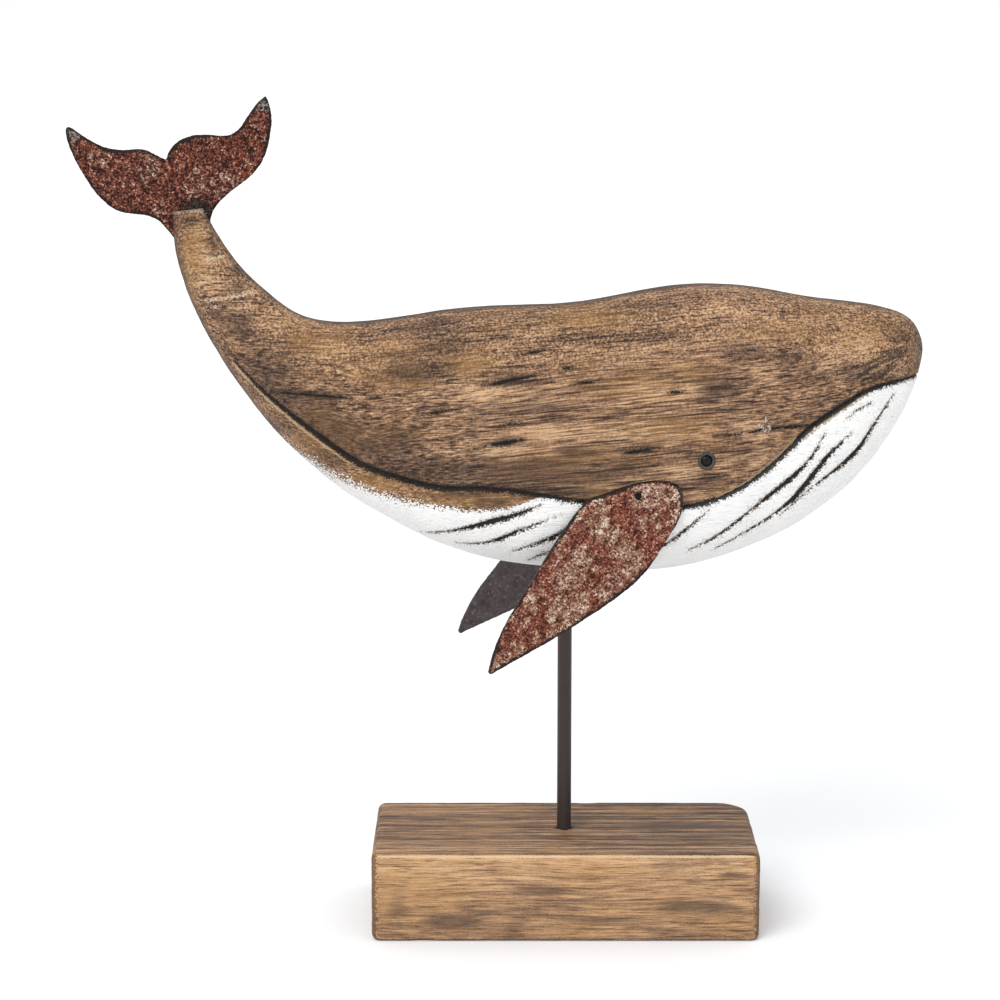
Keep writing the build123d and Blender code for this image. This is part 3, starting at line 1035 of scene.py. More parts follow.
@dataclass(frozen=True)
class BlockWood:
    """Stained wood of the block, with sawn lines on its top, edges pale from wear and a painted highlight,
    and painted light and shade.
    """

    effects: SharedEffects
    tones: WoodTones = BASE_TONES
    dark: Colour = (0.085, 0.053, 0.038)
    gloss: float = 0.3
    relief: float = 0.4 * MM
    name: str = "worn_base_wood"

    def sawn(self, graph: Graph, place: Feed) -> bpy.types.NodeSocket:
        """Draw straight dark and light lines along the top face."""
        lines = graph.noise(graph.stretch(place, (7, 460, 460)), detail=4.0, rough=0.72)
        return graph.math("MULTIPLY", graph.remap(lines, 0.36, 0.64, -0.33, 0.33), graph.kept("top"))

    def make(self) -> bpy.types.Material:
        """Build the finish.

        Returns:
            The material.
        """
        material, graph, shader = start_finish(self.name)
        place = graph.place()
        grain = graph.group(self.effects.grain, {"Vector": place})
        figure, fibre, hatch, pores, stain = (grain.outputs[name] for name in GRAIN_THREADS)
        wave = graph.math("SINE", graph.math("MULTIPLY", graph.kept("rings"), 2 * math.pi))
        latewood = graph.remap(wave, -0.4, 1.0)
        streaks = graph.noise(graph.stretch(place, (16, 600, 600)), detail=5.0, rough=0.72)
        # The kept lift is painted light and shade, partly stain, over the front and top faces.
        tone = graph.total([
            (figure, 0.18), (fibre, 0.36), (hatch, -0.26), (graph.remap(streaks, 0.36, 0.64), 0.2),
            (graph.stipple(place, 1500.0), 0.14), (latewood, -0.1), (graph.kept("lift"), 1.0),
            (self.sawn(graph, place), 1.0), (1.0, 0.175),
        ])
        colour = graph.ramp(tone, self.tones.stops)
        cloud = graph.remap(stain, 0.35, 0.0, 0.0, 0.6)
        colour = graph.mix(cloud, colour, graph.mix(0.4, self.dark, colour))
        colour = self.tones.gild(graph, colour, graph.remap(stain, 0.55, 1.0, 0.0, 0.6))
        blots = graph.total([(graph.kept("blot"), 1.75), (figure, -0.6), (streaks, -0.6)])
        shade = graph.mix(0.3, self.dark, colour)
        colour = graph.mix(graph.remap(blots, 0.0, 0.55, 0.0, 0.95), colour, shade)
        colour = graph.mix(graph.math("MULTIPLY", pores, 0.5), colour, self.tones.pore)
        colour = self.effects.lay(graph, place, colour, BLOCK_COATS)
        cover(graph, shader, colour, graph.total([(fibre, 0.2), (1.0, 0.55)]), self.gloss)
        height = graph.total([(fibre, 0.5), (hatch, -0.3), (streaks, 0.5), (latewood, 0.15)])
        raise_bump(graph, shader, height, self.relief)
        return material


RED_RUST = (
    (0.10, (0.014, 0.006, 0.005)),
    (0.34, (0.085, 0.020, 0.012)),
    (0.58, (0.190, 0.050, 0.028)),
    (0.77, (0.285, 0.112, 0.068)),
    (0.94, (0.550, 0.375, 0.280)),
)

FROSTED_RUST = (
    (0.08, (0.028, 0.012, 0.009)),
    (0.32, (0.140, 0.052, 0.033)),
    (0.54, (0.262, 0.136, 0.088)),
    (0.74, (0.412, 0.276, 0.200)),
    (0.92, (0.680, 0.585, 0.490)),
)

ASH_EDGE = Edge("ash", 0.0, 1.2, 2.0, 0.8)
SOOT_EDGE = Edge("soot", 0.0, 2.0, 2.6, 0.92)
RIM_EDGE = Edge("rim", 0.0, 0.4, 0.45, 0.94)


@dataclass(frozen=True)
class RustedSheet:
    """Sheet steel with a rust crust outside, black cut edges and a plain dark inside."""

    effects: SharedEffects
    edge_black: Colour = (0.012, 0.009, 0.008)
    plain: Colour = (0.100, 0.077, 0.080)
    speck: Colour = (0.20, 0.175, 0.17)
    scratch: Colour = (0.15, 0.13, 0.13)
    ash: tuple[Colour, Colour] = ((0.012, 0.010, 0.009), (0.46, 0.42, 0.38))
    soot: tuple[Colour, Colour] = ((0.001, 0.001, 0.001), (0.040, 0.032, 0.028))
    gloss: float = 0.25
    relief: float = 0.4 * MM
    name: str = "rust_crusted_sheet"

    def crust(self, graph: Graph, place: Feed, tone: Feed) -> bpy.types.NodeSocket:
        """Colour the crust.

        Args:
            graph: The finish's graph.
            place: The sheet's coordinates.
            tone: How light each grain is.

        Returns:
            The colour: red and frosted rust, with ash, soot and a black rim.
        """
        clouds = graph.noise(place, scale=105.0, detail=4.0, rough=0.6)
        share = graph.total([(clouds, 1.0), (graph.kept("pale"), 0.14), (graph.kept("deep"), -0.1)])
        frosted = graph.remap(share, 0.45, 0.58)
        colour = graph.mix(frosted, graph.ramp(tone, RED_RUST), graph.ramp(tone, FROSTED_RUST))
        for edge, tones in ((ASH_EDGE, self.ash), (SOOT_EDGE, self.soot)):
            colour = graph.mix(self.effects.mask(graph, place, edge), colour, graph.mix(tone, *tones))
        return self.effects.lay(graph, place, colour, ((RIM_EDGE, self.edge_black),))

    def bare(self, graph: Graph, place: Feed) -> bpy.types.NodeSocket:
        """Colour the plain inside.

        Args:
            graph: The finish's graph.
            place: The sheet's coordinates.

        Returns:
            The colour: dusty steel with specks and fine scratches.
        """
        dust = graph.remap(graph.noise(place, scale=380.0, detail=5.0, rough=0.75), 0.36, 0.64)
        colour = graph.mix(dust, graph.mix(0.6, self.plain, self.edge_black), self.plain)
        specks = graph.remap(graph.noise(place, scale=700.0, detail=2.0), 0.6, 0.7, 0.0, 0.7)
        colour = graph.mix(specks, colour, self.speck)
        lines = graph.noise(graph.stretch(place, (90, 90, 1500)), detail=2.0)
        return graph.mix(graph.remap(lines, 0.68, 0.76, 0.0, 0.3), colour, self.scratch)

    def make(self) -> bpy.types.Material:
        """Build the finish.

        Returns:
            The material.
        """
        material, graph, shader = start_finish(self.name)
        place = graph.place()
        grit = graph.group(self.effects.grit, {"Vector": place, "Scale": GRIT_SCALE})
        grain, deep = grit.outputs["Tone"], graph.kept("deep")
        smears = graph.remap(graph.noise(place, scale=420.0, detail=3.0, rough=0.6), 0.34, 0.66)
        tone = graph.total([
            (grain, 0.86), (smears, 0.34), (graph.kept("pale"), 0.14), (deep, -0.23),
            (graph.math("MULTIPLY", grain, deep), 0.22), (1.0, -0.12),
        ])
        crusted = graph.kept("outer")
        colour = graph.mix(crusted, self.bare(graph, place), self.crust(graph, place, tone))
        cover(graph, shader, colour, graph.remap(crusted, 0.0, 1.0, 0.55, 0.9), self.gloss)
        height = graph.total([(grit.outputs["Height"], 0.8), (smears, 0.3)])
        height = graph.math("MULTIPLY", height, graph.remap(crusted, 0.0, 1.0, 0.08, 1.0))
        raise_bump(graph, shader, height, self.relief)
        return material


@dataclass(frozen=True)
class DarkSteel:
    """Dark steel, drawn along Z and speckled with rust."""

    effects: SharedEffects
    name: str
    deep: Colour
    light: Colour
    rust: Colour
    rust_share: float
    rough: float
    metal: float = 0.0
    gloss: float = 0.2
    rust_scale: float = 1500.0
    relief: float = 0.06 * MM

    def make(self) -> bpy.types.Material:
        """Build the finish.

        Returns:
            The material.
        """
        material, graph, shader = start_finish(self.name)
        place = graph.place()
        drawn = graph.remap(graph.noise(graph.stretch(place, (2600, 2600, 40)), detail=3.0), 0.3, 0.7)
        cloud = graph.remap(graph.noise(place, scale=160.0, detail=5.0, rough=0.65), 0.32, 0.68)
        colour = graph.mix(graph.total([(drawn, 0.4), (cloud, 0.6)]), self.deep, self.light)
        crust = graph.group(self.effects.grit, {"Vector": place, "Scale": self.rust_scale})
        spots = graph.remap(crust.outputs["Tone"], 0.72, 0.8, 0.0, self.rust_share)
        colour = graph.mix(spots, colour, self.rust)
        rough = graph.total([(cloud, 0.16), (spots, 0.25), (1.0, self.rough)])
        cover(graph, shader, colour, rough, self.gloss)
        graph.feed(shader.inputs["Metallic"], self.metal)
        height = graph.total([(drawn, 0.4), (crust.outputs["Height"], 0.3)])
        raise_bump(graph, shader, height, self.relief)
        return material


@dataclass(frozen=True)
class NailSteel:
    """Two nail heads: the rear one black, the front one crusted like the sheet round it."""

    effects: SharedEffects
    middle: float
    name: str
    black: Colour = (0.005, 0.004, 0.004)
    rough: float = 0.85
    gloss: float = 0.2
    relief: float = 0.3 * MM

    def make(self) -> bpy.types.Material:
        """Build the finish.

        Returns:
            The material.
        """
        material, graph, shader = start_finish(self.name)
        place = graph.place()
        grit = graph.group(self.effects.grit, {"Vector": place, "Scale": GRIT_SCALE})
        rear = graph.math("LESS_THAN", graph.add("SeparateXYZ", {0: place}).outputs[0], self.middle)
        colour = graph.mix(rear, graph.ramp(grit.outputs["Tone"], RED_RUST), self.black)
        cover(graph, shader, colour, self.rough, self.gloss)
        raise_bump(graph, shader, grit.outputs["Height"], self.relief)
        return material


@dataclass(frozen=True)
class WhalePlace:
    """Where the whale sits: its belly on the rod's top, turned a little."""

    belly_height: float = 0.1255
    turn: float = math.radians(10.0)

    def matrix(self) -> Matrix:
        """Matrix from the whale's own place to the figurine's."""
        return Matrix.Translation((0.0, 0.0, self.belly_height)) @ Matrix.Rotation(self.turn, 4, "Z")

    def to_whale(self, points: np.ndarray) -> np.ndarray:
        """Find points of the figurine in the whale's own place."""
        moved = np.array(self.matrix().inverted())
        return points @ moved[:3, :3].T + moved[:3, 3]


PLACE = WhalePlace()
SEAT_SPLAY = math.radians(8.0)
EYE_LEAN = (0.0235, 0.9997, 0.006)
EYE_LIFT = 0.2 * MM


def seat_facing(side: Side) -> Vector:
    """Way that a flipper's outer face looks, in the whale's own place."""
    return Vector((0.0, side.value * math.cos(SEAT_SPLAY), math.sin(SEAT_SPLAY)))


def eye_place(side: Side) -> Matrix:
    """Find an eye on the flank from its ring in the frame.

    Args:
        side: The side that the eye is on.

    Returns:
        Matrix from the eye's own place, with Z out of the skin, to the whale's.
    """
    low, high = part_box(f"{side.word}_eye_ring")
    outward = Vector((EYE_LEAN[0], side.value * EYE_LEAN[1], EYE_LEAN[2])).normalized()
    middle = PLACE.matrix().inverted() @ ((low + high) / 2)
    turn = Vector((0.0, 0.0, 1.0)).rotation_difference(outward).to_matrix().to_4x4()
    return Matrix.Translation(middle + outward * EYE_LIFT) @ turn


def sheet_outline(node: str, facing: Vector) -> np.ndarray:
    """Follow the outline of a frame sheet's flat face.

    Args:
        node: Name of the sheet's frame node.
        facing: Way that the wanted face looks.

    Returns:
        The outline's points in order.
    """
    flat = bmesh.new()
    flat.from_mesh(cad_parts[node].data)
    bmesh.ops.remove_doubles(flat, verts=flat.verts, dist=WELD_GAP)
    wanted = {f for f in flat.faces if f.normal.dot(facing) > SAME_WAY}
    left = [e for e in flat.edges if sum(f in wanted for f in e.link_faces) == 1]
    loops = []
    while left:
        edge = left.pop()
        loop = [edge.verts[0], edge.verts[1]]
        while True:
            onward = next((e for e in loop[-1].link_edges if e in left), None)
            if onward is None:
                break
            left.remove(onward)
            loop.append(onward.other_vert(loop[-1]))
        loops.append(np.array([v.co for v in (loop[:-1] if loop[0] == loop[-1] else loop)]))
    flat.free()
    return max(loops, key=lambda points: np.ptp(points, axis=0).sum())


@dataclass
class WhaleBody:
    """Body carved from one board, with its cut line, pleats and weathering.

    A cut is its half width in mm and its depth. A band beside the jaw line, bare wood at the front and a
    painted highlight on the groove's lower edge at the rear, is its half width and how deep its middle lies
    inside the line's edge, in mm.
    """

    length: float = 0.262
    depth: float = 0.099
    width: float = 0.054
    fullness: float = 0.69
    rings: int = 330
    lower_points: int = 44
    upper_points: int = 62
    cap_shares: tuple[float, ...] = (0.85, 0.6, 0.3)
    snout_bulge: float = 0.7 * MM
    tool_marks: Layers = (((55, 85, 85), 0.22), ((120, 330, 330), 0.1), ((260, 1300, 1300), 0.05))
    jaw_cut: tuple[float, float] = (1.25, 1.3 * MM)
    pleat_cut: tuple[float, float] = (0.95, 0.8 * MM)
    crack_cut: tuple[float, float] = (0.6, 0.7 * MM)
    scratch_cut: tuple[float, float] = (0.5, 0.25 * MM)
    cut_spill: float = 0.15
    cut_round: float = 0.8
    fine_band: float = 2.4
    rod_radius: float = 2.6 * MM
    rod_depth: float = 0.036
    drill_spare: float = 0.005
    kerf: float = 1.5 * MM
    saw_reach: float = 0.07
    slot_depth: float = 0.014
    fluke_lean: float = math.radians(8.0)
    seat_growth: float = 1.0136
    seat_reach: float = 0.03
    eye_socket_radius: float = 3.15 * MM
    eye_socket_depth: float = 0.9 * MM
    eye_drill: float = 0.006
    rear_lip_highlight: tuple[float, float] = (0.35, -0.5)
    front_lip: tuple[float, float] = (0.35, -0.15)
    cheek_lip: tuple[float, float] = (0.6, 0.35)
    shade_reach: float = 13.0
    far_side_shift: float = 17.0
    crest_depth: float = 26.0
    crest_fade: float = 20.0
    crest_share: float = 0.6
    # Spread, peak and share of the painted shade along the top of the back.
    spine_width: float = 4.0 * MM
    spine_peak: float = 1.4
    spine_share: float = 0.8
    glue_depth: float = 0.45
    tail_start: float = -100.0

    def ring(self, row: np.ndarray) -> np.ndarray:
        """Points round one frame of the body, from the belly up the right side and down the left.

        Args:
            row: The frame's percentages.

        Returns:
            The points in the whale's own place.
        """
        belly = np.array([row[0] / 100 * self.length, 0.0, row[1] / 100 * self.depth])
        back = np.array([row[2] / 100 * self.length, 0.0, row[3] / 100 * self.depth])
        height = float(np.linalg.norm(back - belly))
        up = (back - belly) / height
        half = row[4] / 200 * self.width
        widest = row[5] / 100 * height
        reach = self.fullness
        corners = [(0, 0), (half * reach, 0), (half, widest * (1 - reach)), (half, widest)]
        lower = bezier(corners, self.lower_points)
        tip = widest + (height - widest) * reach
        upper = bezier([(half, widest), (half, tip), (half * reach, height), (0, height)], self.upper_points)
        side = np.vstack([lower[:-1], upper])
        outline = np.vstack([side * (-1, 1), side[-2:0:-1]])
        return belly + outline[:, :1] * (0.0, 1.0, 0.0) + outline[:, 1:] * up

    def blank(self) -> bmesh.types.BMesh:
        """Make the body's skin before its cuts.

        Returns:
            The closed skin.
        """
        rows = smooth_curve(np.array(BODY_FRAMES), self.rings)
        rings = [self.ring(row) for row in rows]
        tail, snout = rings[0], rings[-1]
        tail_end, snout_end = tail.mean(0), snout.mean(0)
        bulge = np.array([self.snout_bulge, 0.0, 0.0])
        for share in self.cap_shares:
            rings.insert(0, tail_end + (tail - tail_end) * share)
            rings.append(snout_end + (snout - snout_end) * share + bulge * (1 - share**2))
        vertices = np.vstack(rings + [tail_end[None], (snout_end + bulge)[None]])
        around = len(tail)
        total = around * len(rings)
        faces = []
        for j in range(around):
            k = (j + 1) % around
            for start in range(0, total - around, around):
                faces.append((start + j, start + k, start + around + k, start + around + j))
            faces.append((total, k, j))
            faces.append((total + 1, total - around + j, total - around + k))
        mesh = bpy.data.meshes.new("body_blank")
        mesh.from_pydata(vertices.tolist(), [], faces)
        skin = bmesh.new()
        skin.from_mesh(mesh)
        bpy.data.meshes.remove(mesh)
        bmesh.ops.recalc_face_normals(skin, faces=skin.faces)
        return skin

    def refine(self, skin: bmesh.types.BMesh) -> None:
        """Split the faces that lie along the cuts.

        Args:
            skin: The body's skin.
        """
        flank = np.array([(v.co.x, v.co.z) for v in skin.verts]) / MM
        near = marks_reach(flank, [JAW_LINE] + PLEATS + CRACKS) > -self.fine_band
        edges = [e for e in skin.edges if near[e.verts[0].index] and near[e.verts[1].index]]
        bmesh.ops.subdivide_edges(skin, edges=edges, cuts=1, use_grid_fill=True)

    def carve(self, mesh: bpy.types.Mesh) -> None:
        """Cut the jaw line, pleats and cracks, and leave the marks of the carver's tools.

        Args:
            mesh: The body, in the whale's own place.
        """
        points, outward = coordinates(mesh), normals(mesh)
        flank = points[:, [0, 2]] / MM
        relief = layered_noise(points, self.tool_marks) * MM
        cuts = (
            ([JAW_LINE], self.jaw_cut),
            (PLEATS, self.pleat_cut),
            (CRACKS, self.crack_cut),
            (TAIL_SCRATCHES, self.scratch_cut),
        )
        for marks, (half, depth) in cuts:
            relief -= self.groove(marks_reach(flank, marks), half) * depth
        move_vertices(mesh, points + outward * relief[:, None])

    def groove(self, reach: np.ndarray, half: float) -> np.ndarray:
        """Depth share of a rounded V cut, from how deep a place lies inside its edge in mm."""
        return np.clip((reach + self.cut_spill) / half, 0.0, 1.0) ** self.cut_round

    def cutter(self) -> bpy.types.Object:
        """Make the tools that leave the rod's hole, the saw cut, the flippers' beds and the eyes' sockets.

        Returns:
            The tools, as one object.
        """
        tools = bmesh.new()
        hole = Matrix.Translation((0.0, 0.0, self.rod_depth / 2 - self.drill_spare))
        self.drill(tools, self.rod_radius, self.rod_depth + 2 * self.drill_spare, hole)
        tail = (np.array(BODY_FRAMES[0][0:2]) + np.array(BODY_FRAMES[0][2:4])) / 200
        saw = Matrix.Translation((tail[0] * self.length, 0.0, tail[1] * self.depth))
        saw = saw @ Matrix.Rotation(-self.fluke_lean, 4, "Y")
        saw = saw @ Matrix.Diagonal((self.saw_reach, self.kerf, 2 * self.slot_depth, 1.0))
        bmesh.ops.create_cube(tools, size=1.0, matrix=saw)
        for side in Side:
            self.seat_tool(tools, side)
            lift = Matrix.Translation((0.0, 0.0, self.eye_drill / 2 - self.eye_socket_depth))
            self.drill(tools, self.eye_socket_radius, self.eye_drill, eye_place(side) @ lift)
        bmesh.ops.recalc_face_normals(tools, faces=tools.faces)
        return put_in_scene("carving_tools", new_mesh("carving_tools", tools))

    @staticmethod
    def drill(tools: bmesh.types.BMesh, radius: float, depth: float, place: Matrix) -> None:
        """Add a round tool."""
        sizes = {"radius1": radius, "radius2": radius, "depth": depth}
        bmesh.ops.create_cone(tools, cap_ends=True, segments=ROUND_STEPS, matrix=place, **sizes)

    def seat_tool(self, tools: bmesh.types.BMesh, side: Side) -> None:
        """Add the block that cuts one flipper's bed, from the flipper's own inner outline.

        Args:
            tools: The tools that it joins.
            side: The flipper's side.
        """
        facing = seat_facing(side)
        loop = PLACE.to_whale(sheet_outline(f"{side.word}_flipper", PLACE.matrix().to_3x3() @ -facing))
        middle = loop.mean(0)
        loop = middle + (loop - middle) * self.seat_growth
        low = [tools.verts.new(p) for p in loop]
        high = [tools.verts.new(p + np.array(facing) * self.seat_reach) for p in loop]
        tools.faces.new(low)
        tools.faces.new(high)
        for i in range(len(loop)):
            k = (i + 1) % len(loop)
            tools.faces.new((low[i], low[k], high[k], high[i]))

    def describe(self, mesh: bpy.types.Mesh) -> None:
        """Keep what the finish reads at each vertex: places, distances to the cuts, paint, stains and painted
        shade.

        Args:
            mesh: The body, in the whale's own place.
        """
        points = coordinates(mesh)
        flank = points[:, [0, 2]] / MM
        along, up = flank.T
        jaw = mark_reach(flank, JAW_LINE)
        below = straight(along, JAW_LINE.line) > up
        kept = {name: np.maximum(marks_reach(flank, marks), OUTSIDE) for name, marks in KEPT_MARKS.items()}
        kept["whale"] = points
        kept["grain"] = points - np.outer(straight(along, GRAIN_RISE) * MM, (0.0, 0.0, 1.0))
        kept["jaw"] = np.maximum(jaw, OUTSIDE)
        kept["lip"] = self.lip(along, jaw, below)
        kept["crest"], kept["ridge_shade"] = self.crest(points)
        tail_end = BODY_FRAMES[0][1] / 100 * self.depth / MM
        kept["glue"] = np.where(along < self.tail_start, self.glue_depth - (tail_end - up), JUST_OUTSIDE)
        store(mesh, kept | self.paint(along, up))
        shifted = flank + np.where(points[:, 1] < 0, 0.0, self.far_side_shift)[:, None]
        stains = {name: stain_weight(shifted, patches) for name, patches in KEPT_STAINS_AND_SHADE.items()}
        # Painted shade, partly a real stain, in a band above the jaw line, joins the dark stains.
        shade = np.exp(-((jaw / self.shade_reach) ** 2)) * ~below * straight(along, JAW_SHADE)
        stains["dark_stain_and_shade"] = np.maximum(stains["dark_stain_and_shade"], shade)
        store(mesh, stains)

    def lip(self, along: np.ndarray, jaw: np.ndarray, below: np.ndarray) -> np.ndarray:
        """Measure how deep places lie inside the pale band beside the jaw line: bare wood, and at the rear a
        painted highlight on the groove's lower edge.

        Args:
            along: Places along the whale in mm.
            jaw: How deep they lie inside the jaw line in mm.
            below: Whether they lie below it.

        Returns:
            Distance in mm inside the band's edge, negative outside it.
        """
        lips = (self.rear_lip_highlight, self.front_lip, self.cheek_lip)
        rear, front, cheek = (half - np.abs(jaw - middle) for half, middle in lips)
        above = straight(along, LIP_ABOVE)
        under = np.where(along < 0.0, rear, front) - straight(along, LIP_GAP) - 2.0 * above
        over = cheek - 2.0 * (1.0 - above)
        return np.maximum(np.where(below, under, over), JUST_OUTSIDE)

    def crest(self, points: np.ndarray) -> tuple[np.ndarray, np.ndarray]:
        """Find the stippled crest of the back, and the painted shade along the top of the back and at the
        snout's tip.

        Args:
            points: The body's vertices, in the whale's own place.

        Returns:
            How far each vertex belongs to the crest and to the painted shade.
        """
        along, up = points[:, 0] / MM, points[:, 2] / MM
        back = np.array(BODY_FRAMES)[:, 2:4] / 100 * (self.length, self.depth) / MM
        height = (up - straight(along, back) + self.crest_depth) / self.crest_fade
        spine_shade = np.clip(self.spine_peak - np.abs(points[:, 1]) / self.spine_width, 0.0, 1.0)
        spine_shade *= self.spine_share * (up > straight(along, self.paint_edge()))
        return np.clip(height, 0.0, self.crest_share), np.maximum(spine_shade, straight(along, NOSE_SHADE))

    @staticmethod
    def paint_edge() -> np.ndarray:
        """Upper edge of the white paint, from tail to snout."""
        rear = np.array(PAINT_EDGE_REAR)
        return np.vstack([rear, [p for p in JAW_LINE.line if p[0] > rear[-1, 0]]])

    def paint(self, along: np.ndarray, up: np.ndarray) -> dict[str, np.ndarray]:
        """Measure how deep places lie inside the white paint, and how its edge breaks up.

        Args:
            along: Places along the whale in mm.
            up: Places above its belly in mm.

        Returns:
            The distances, and the edge's fray and speckle, in mm.
        """
        edge = self.paint_edge()
        slope = np.gradient(edge[:, 1], edge[:, 0])
        tilt = np.cos(np.arctan(np.interp(along, edge[:, 0], slope)))
        return {
            "paint": (straight(along, edge) - up) * tilt,
            "paint_fray": straight(along, PAINT_FRAY),
            "paint_speckle": straight(along, PAINT_SPECKLE),
        }

    def build(self, finish: bpy.types.Material) -> None:
        """Carve the body, cut its seats and dress it.

        Args:
            finish: The body's finish.
        """
        skin = self.blank()
        self.refine(skin)
        mesh = new_mesh("whale_body", skin)
        self.carve(mesh)
        tools = self.cutter()
        cut = baked_mesh(mesh, [("BOOLEAN", {"operation": "DIFFERENCE", "object": tools, "solver": "EXACT"})])
        bpy.data.objects.remove(tools)
        self.describe(cut)
        cut.transform(PLACE.matrix())
        settle("carved_body", cut, ["whale_body"], "body_wood", finish)


@dataclass
class SheetFins:
    """Flippers and fluke cut from sheet steel, crusted with rust."""

    voxel: float = 0.36 * MM
    crust: float = 0.16 * MM
    lumps: Layers = (((520, 520, 520), 0.6), ((1150, 1150, 1150), 0.5))
    edge_wear: float = 0.13 * MM
    dents: Layers = (((300, 300, 300), 1.0), ((950, 950, 950), 1.0))
    rim_width: float = 0.7
    rim_wander: Layers = (((75, 75, 75), 1.4), ((270, 270, 270), 0.8))
    root_reach: float = 16 * MM
    pale_line: float = 1.4
    pale_reach: float = 1.3
    ash_reach: float = 5.0 * MM
    tip_lean: float = 0.6
    tip_rise: float = 0.8
    flat_look: float = 0.8
    outer_look: float = 0.3

    @staticmethod
    def from_rim(points: np.ndarray, flat: np.ndarray) -> np.ndarray:
        """Measure how far vertices lie from the sheet's cut edge.

        Args:
            points: The sheet's vertices.
            flat: Which of them lie on its flat faces.

        Returns:
            The distances in mm.
        """
        tree = kdtree.KDTree(int((~flat).sum()))
        for number, point in enumerate(points[~flat]):
            tree.insert(point, number)
        tree.balance()
        return np.array([tree.find(p)[2] for p in points]) / MM

    def stains(self, points: np.ndarray, rim: np.ndarray, fluke: bool) -> dict[str, np.ndarray]:
        """Find where a sheet is pale, deep red, ashen or sooty.

        Args:
            points: The sheet's vertices.
            rim: How far they lie from its cut edge in mm.
            fluke: Whether it is the fluke, which has ashen tips and soot round the tail's end.

        Returns:
            What the finish reads at each vertex.
        """
        none = np.zeros(len(points))
        if not fluke:
            root = fade(points[:, 2].max() - points[:, 2], self.root_reach)
            pale = root * fade(np.abs(rim - self.pale_line), self.pale_reach)
            return {"pale": pale, "deep": none, "ash": none + CLEAN, "soot": none + CLEAN}
        looks = [(lean, 0.0, self.tip_rise) for lean in (-self.tip_lean, self.tip_lean)]
        tips = points[[(points @ np.array(look)).argmax() for look in looks]]
        from_tip = np.min([np.linalg.norm(points - tip, axis=1) for tip in tips], axis=0)
        soot = mark_reach(PLACE.to_whale(points)[:, [0, 2]] / MM, TAIL_SOOT)
        return {"pale": none, "deep": none + 1.0, "ash": (self.ash_reach - from_tip) / MM, "soot": soot}

    def sheet(
        self, name: str, node: str, facing: Vector, fluke: bool, finish: bpy.types.Material
    ) -> None:
        """Raise the crust on one sheet.

        Args:
            name: The piece's name.
            node: The frame node it stands for.
            facing: Way that the crusted face looks.
            fluke: Whether it is the fluke, which is crusted on both faces.
            finish: The sheet's finish.
        """
        mesh = frame_mesh(node, self.voxel)
        points, outward = coordinates(mesh), normals(mesh)
        look = outward @ np.array(facing)
        flat = np.abs(look) > self.flat_look
        rim = self.from_rim(points, flat)
        crusted = np.where(fluke | (look > self.outer_look), 1.0, 0.0)
        inside = self.rim_width * (1.0 + layered_noise(points, self.rim_wander)) - rim
        store(mesh, {"outer": crusted, "rim": inside} | self.stains(points, rim, fluke))
        height = self.crust * layered_noise(points, self.lumps) * crusted * flat
        height += self.edge_wear * layered_noise(points, self.dents) * ~flat
        move_vertices(mesh, points + outward * height[:, None])
        settle(name, mesh, [node], "rusty_sheet", finish)

    def build(self, finish: bpy.types.Material) -> None:
        """Make both flippers and the fluke.

        Args:
            finish: The sheets' finish.
        """
        turn = PLACE.matrix().to_3x3()
        for side in Side:
            node = f"{side.word}_flipper"
            self.sheet(f"{node}_sheet", node, turn @ seat_facing(side), False, finish)
        self.sheet("fluke_sheet", "tail_fluke", turn @ Vector((0.0, -1.0, 0.0)), True, finish)


@dataclass
class FlipperNails:
    """Two nails through each flipper, which keep their frame solids."""

    effects: SharedEffects

    def build(self) -> None:
        """Dress the nails of both flippers."""
        for side in Side:
            node = f"{side.word}_flipper_nails"
            middle = float(coordinates(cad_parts[node].data)[:, 0].mean())
            dress_solid(node, NailSteel(self.effects, middle, f"{node}_steel").make())


def lathe(profile: Line) -> bmesh.types.BMesh:
    """Turn a profile round Z.

    Args:
        profile: Radius and height of each point, in order.

    Returns:
        The turned skin.
    """
    skin = bmesh.new()
    verts = [skin.verts.new((radius, 0.0, height)) for radius, height in profile]
    edges = [skin.edges.new(pair) for pair in zip(verts[:-1], verts[1:])]
    turn = {"axis": (0, 0, 1), "cent": (0, 0, 0), "angle": 2 * math.pi, "steps": ROUND_STEPS}
    bmesh.ops.spin(skin, geom=verts + edges, use_merge=True, **turn)
    bmesh.ops.remove_doubles(skin, verts=skin.verts, dist=WELD_GAP)
    bmesh.ops.recalc_face_normals(skin, faces=skin.faces)
    return skin


def arc(centre: tuple[float, float], radius: float, start: float, end: float, count: int) -> Line:
    """Points on an arc, by its start and end in degrees."""
    turns = np.radians(np.linspace(start, end, count))
    return [(centre[0] + radius * math.cos(t), centre[1] + radius * math.sin(t)) for t in turns]


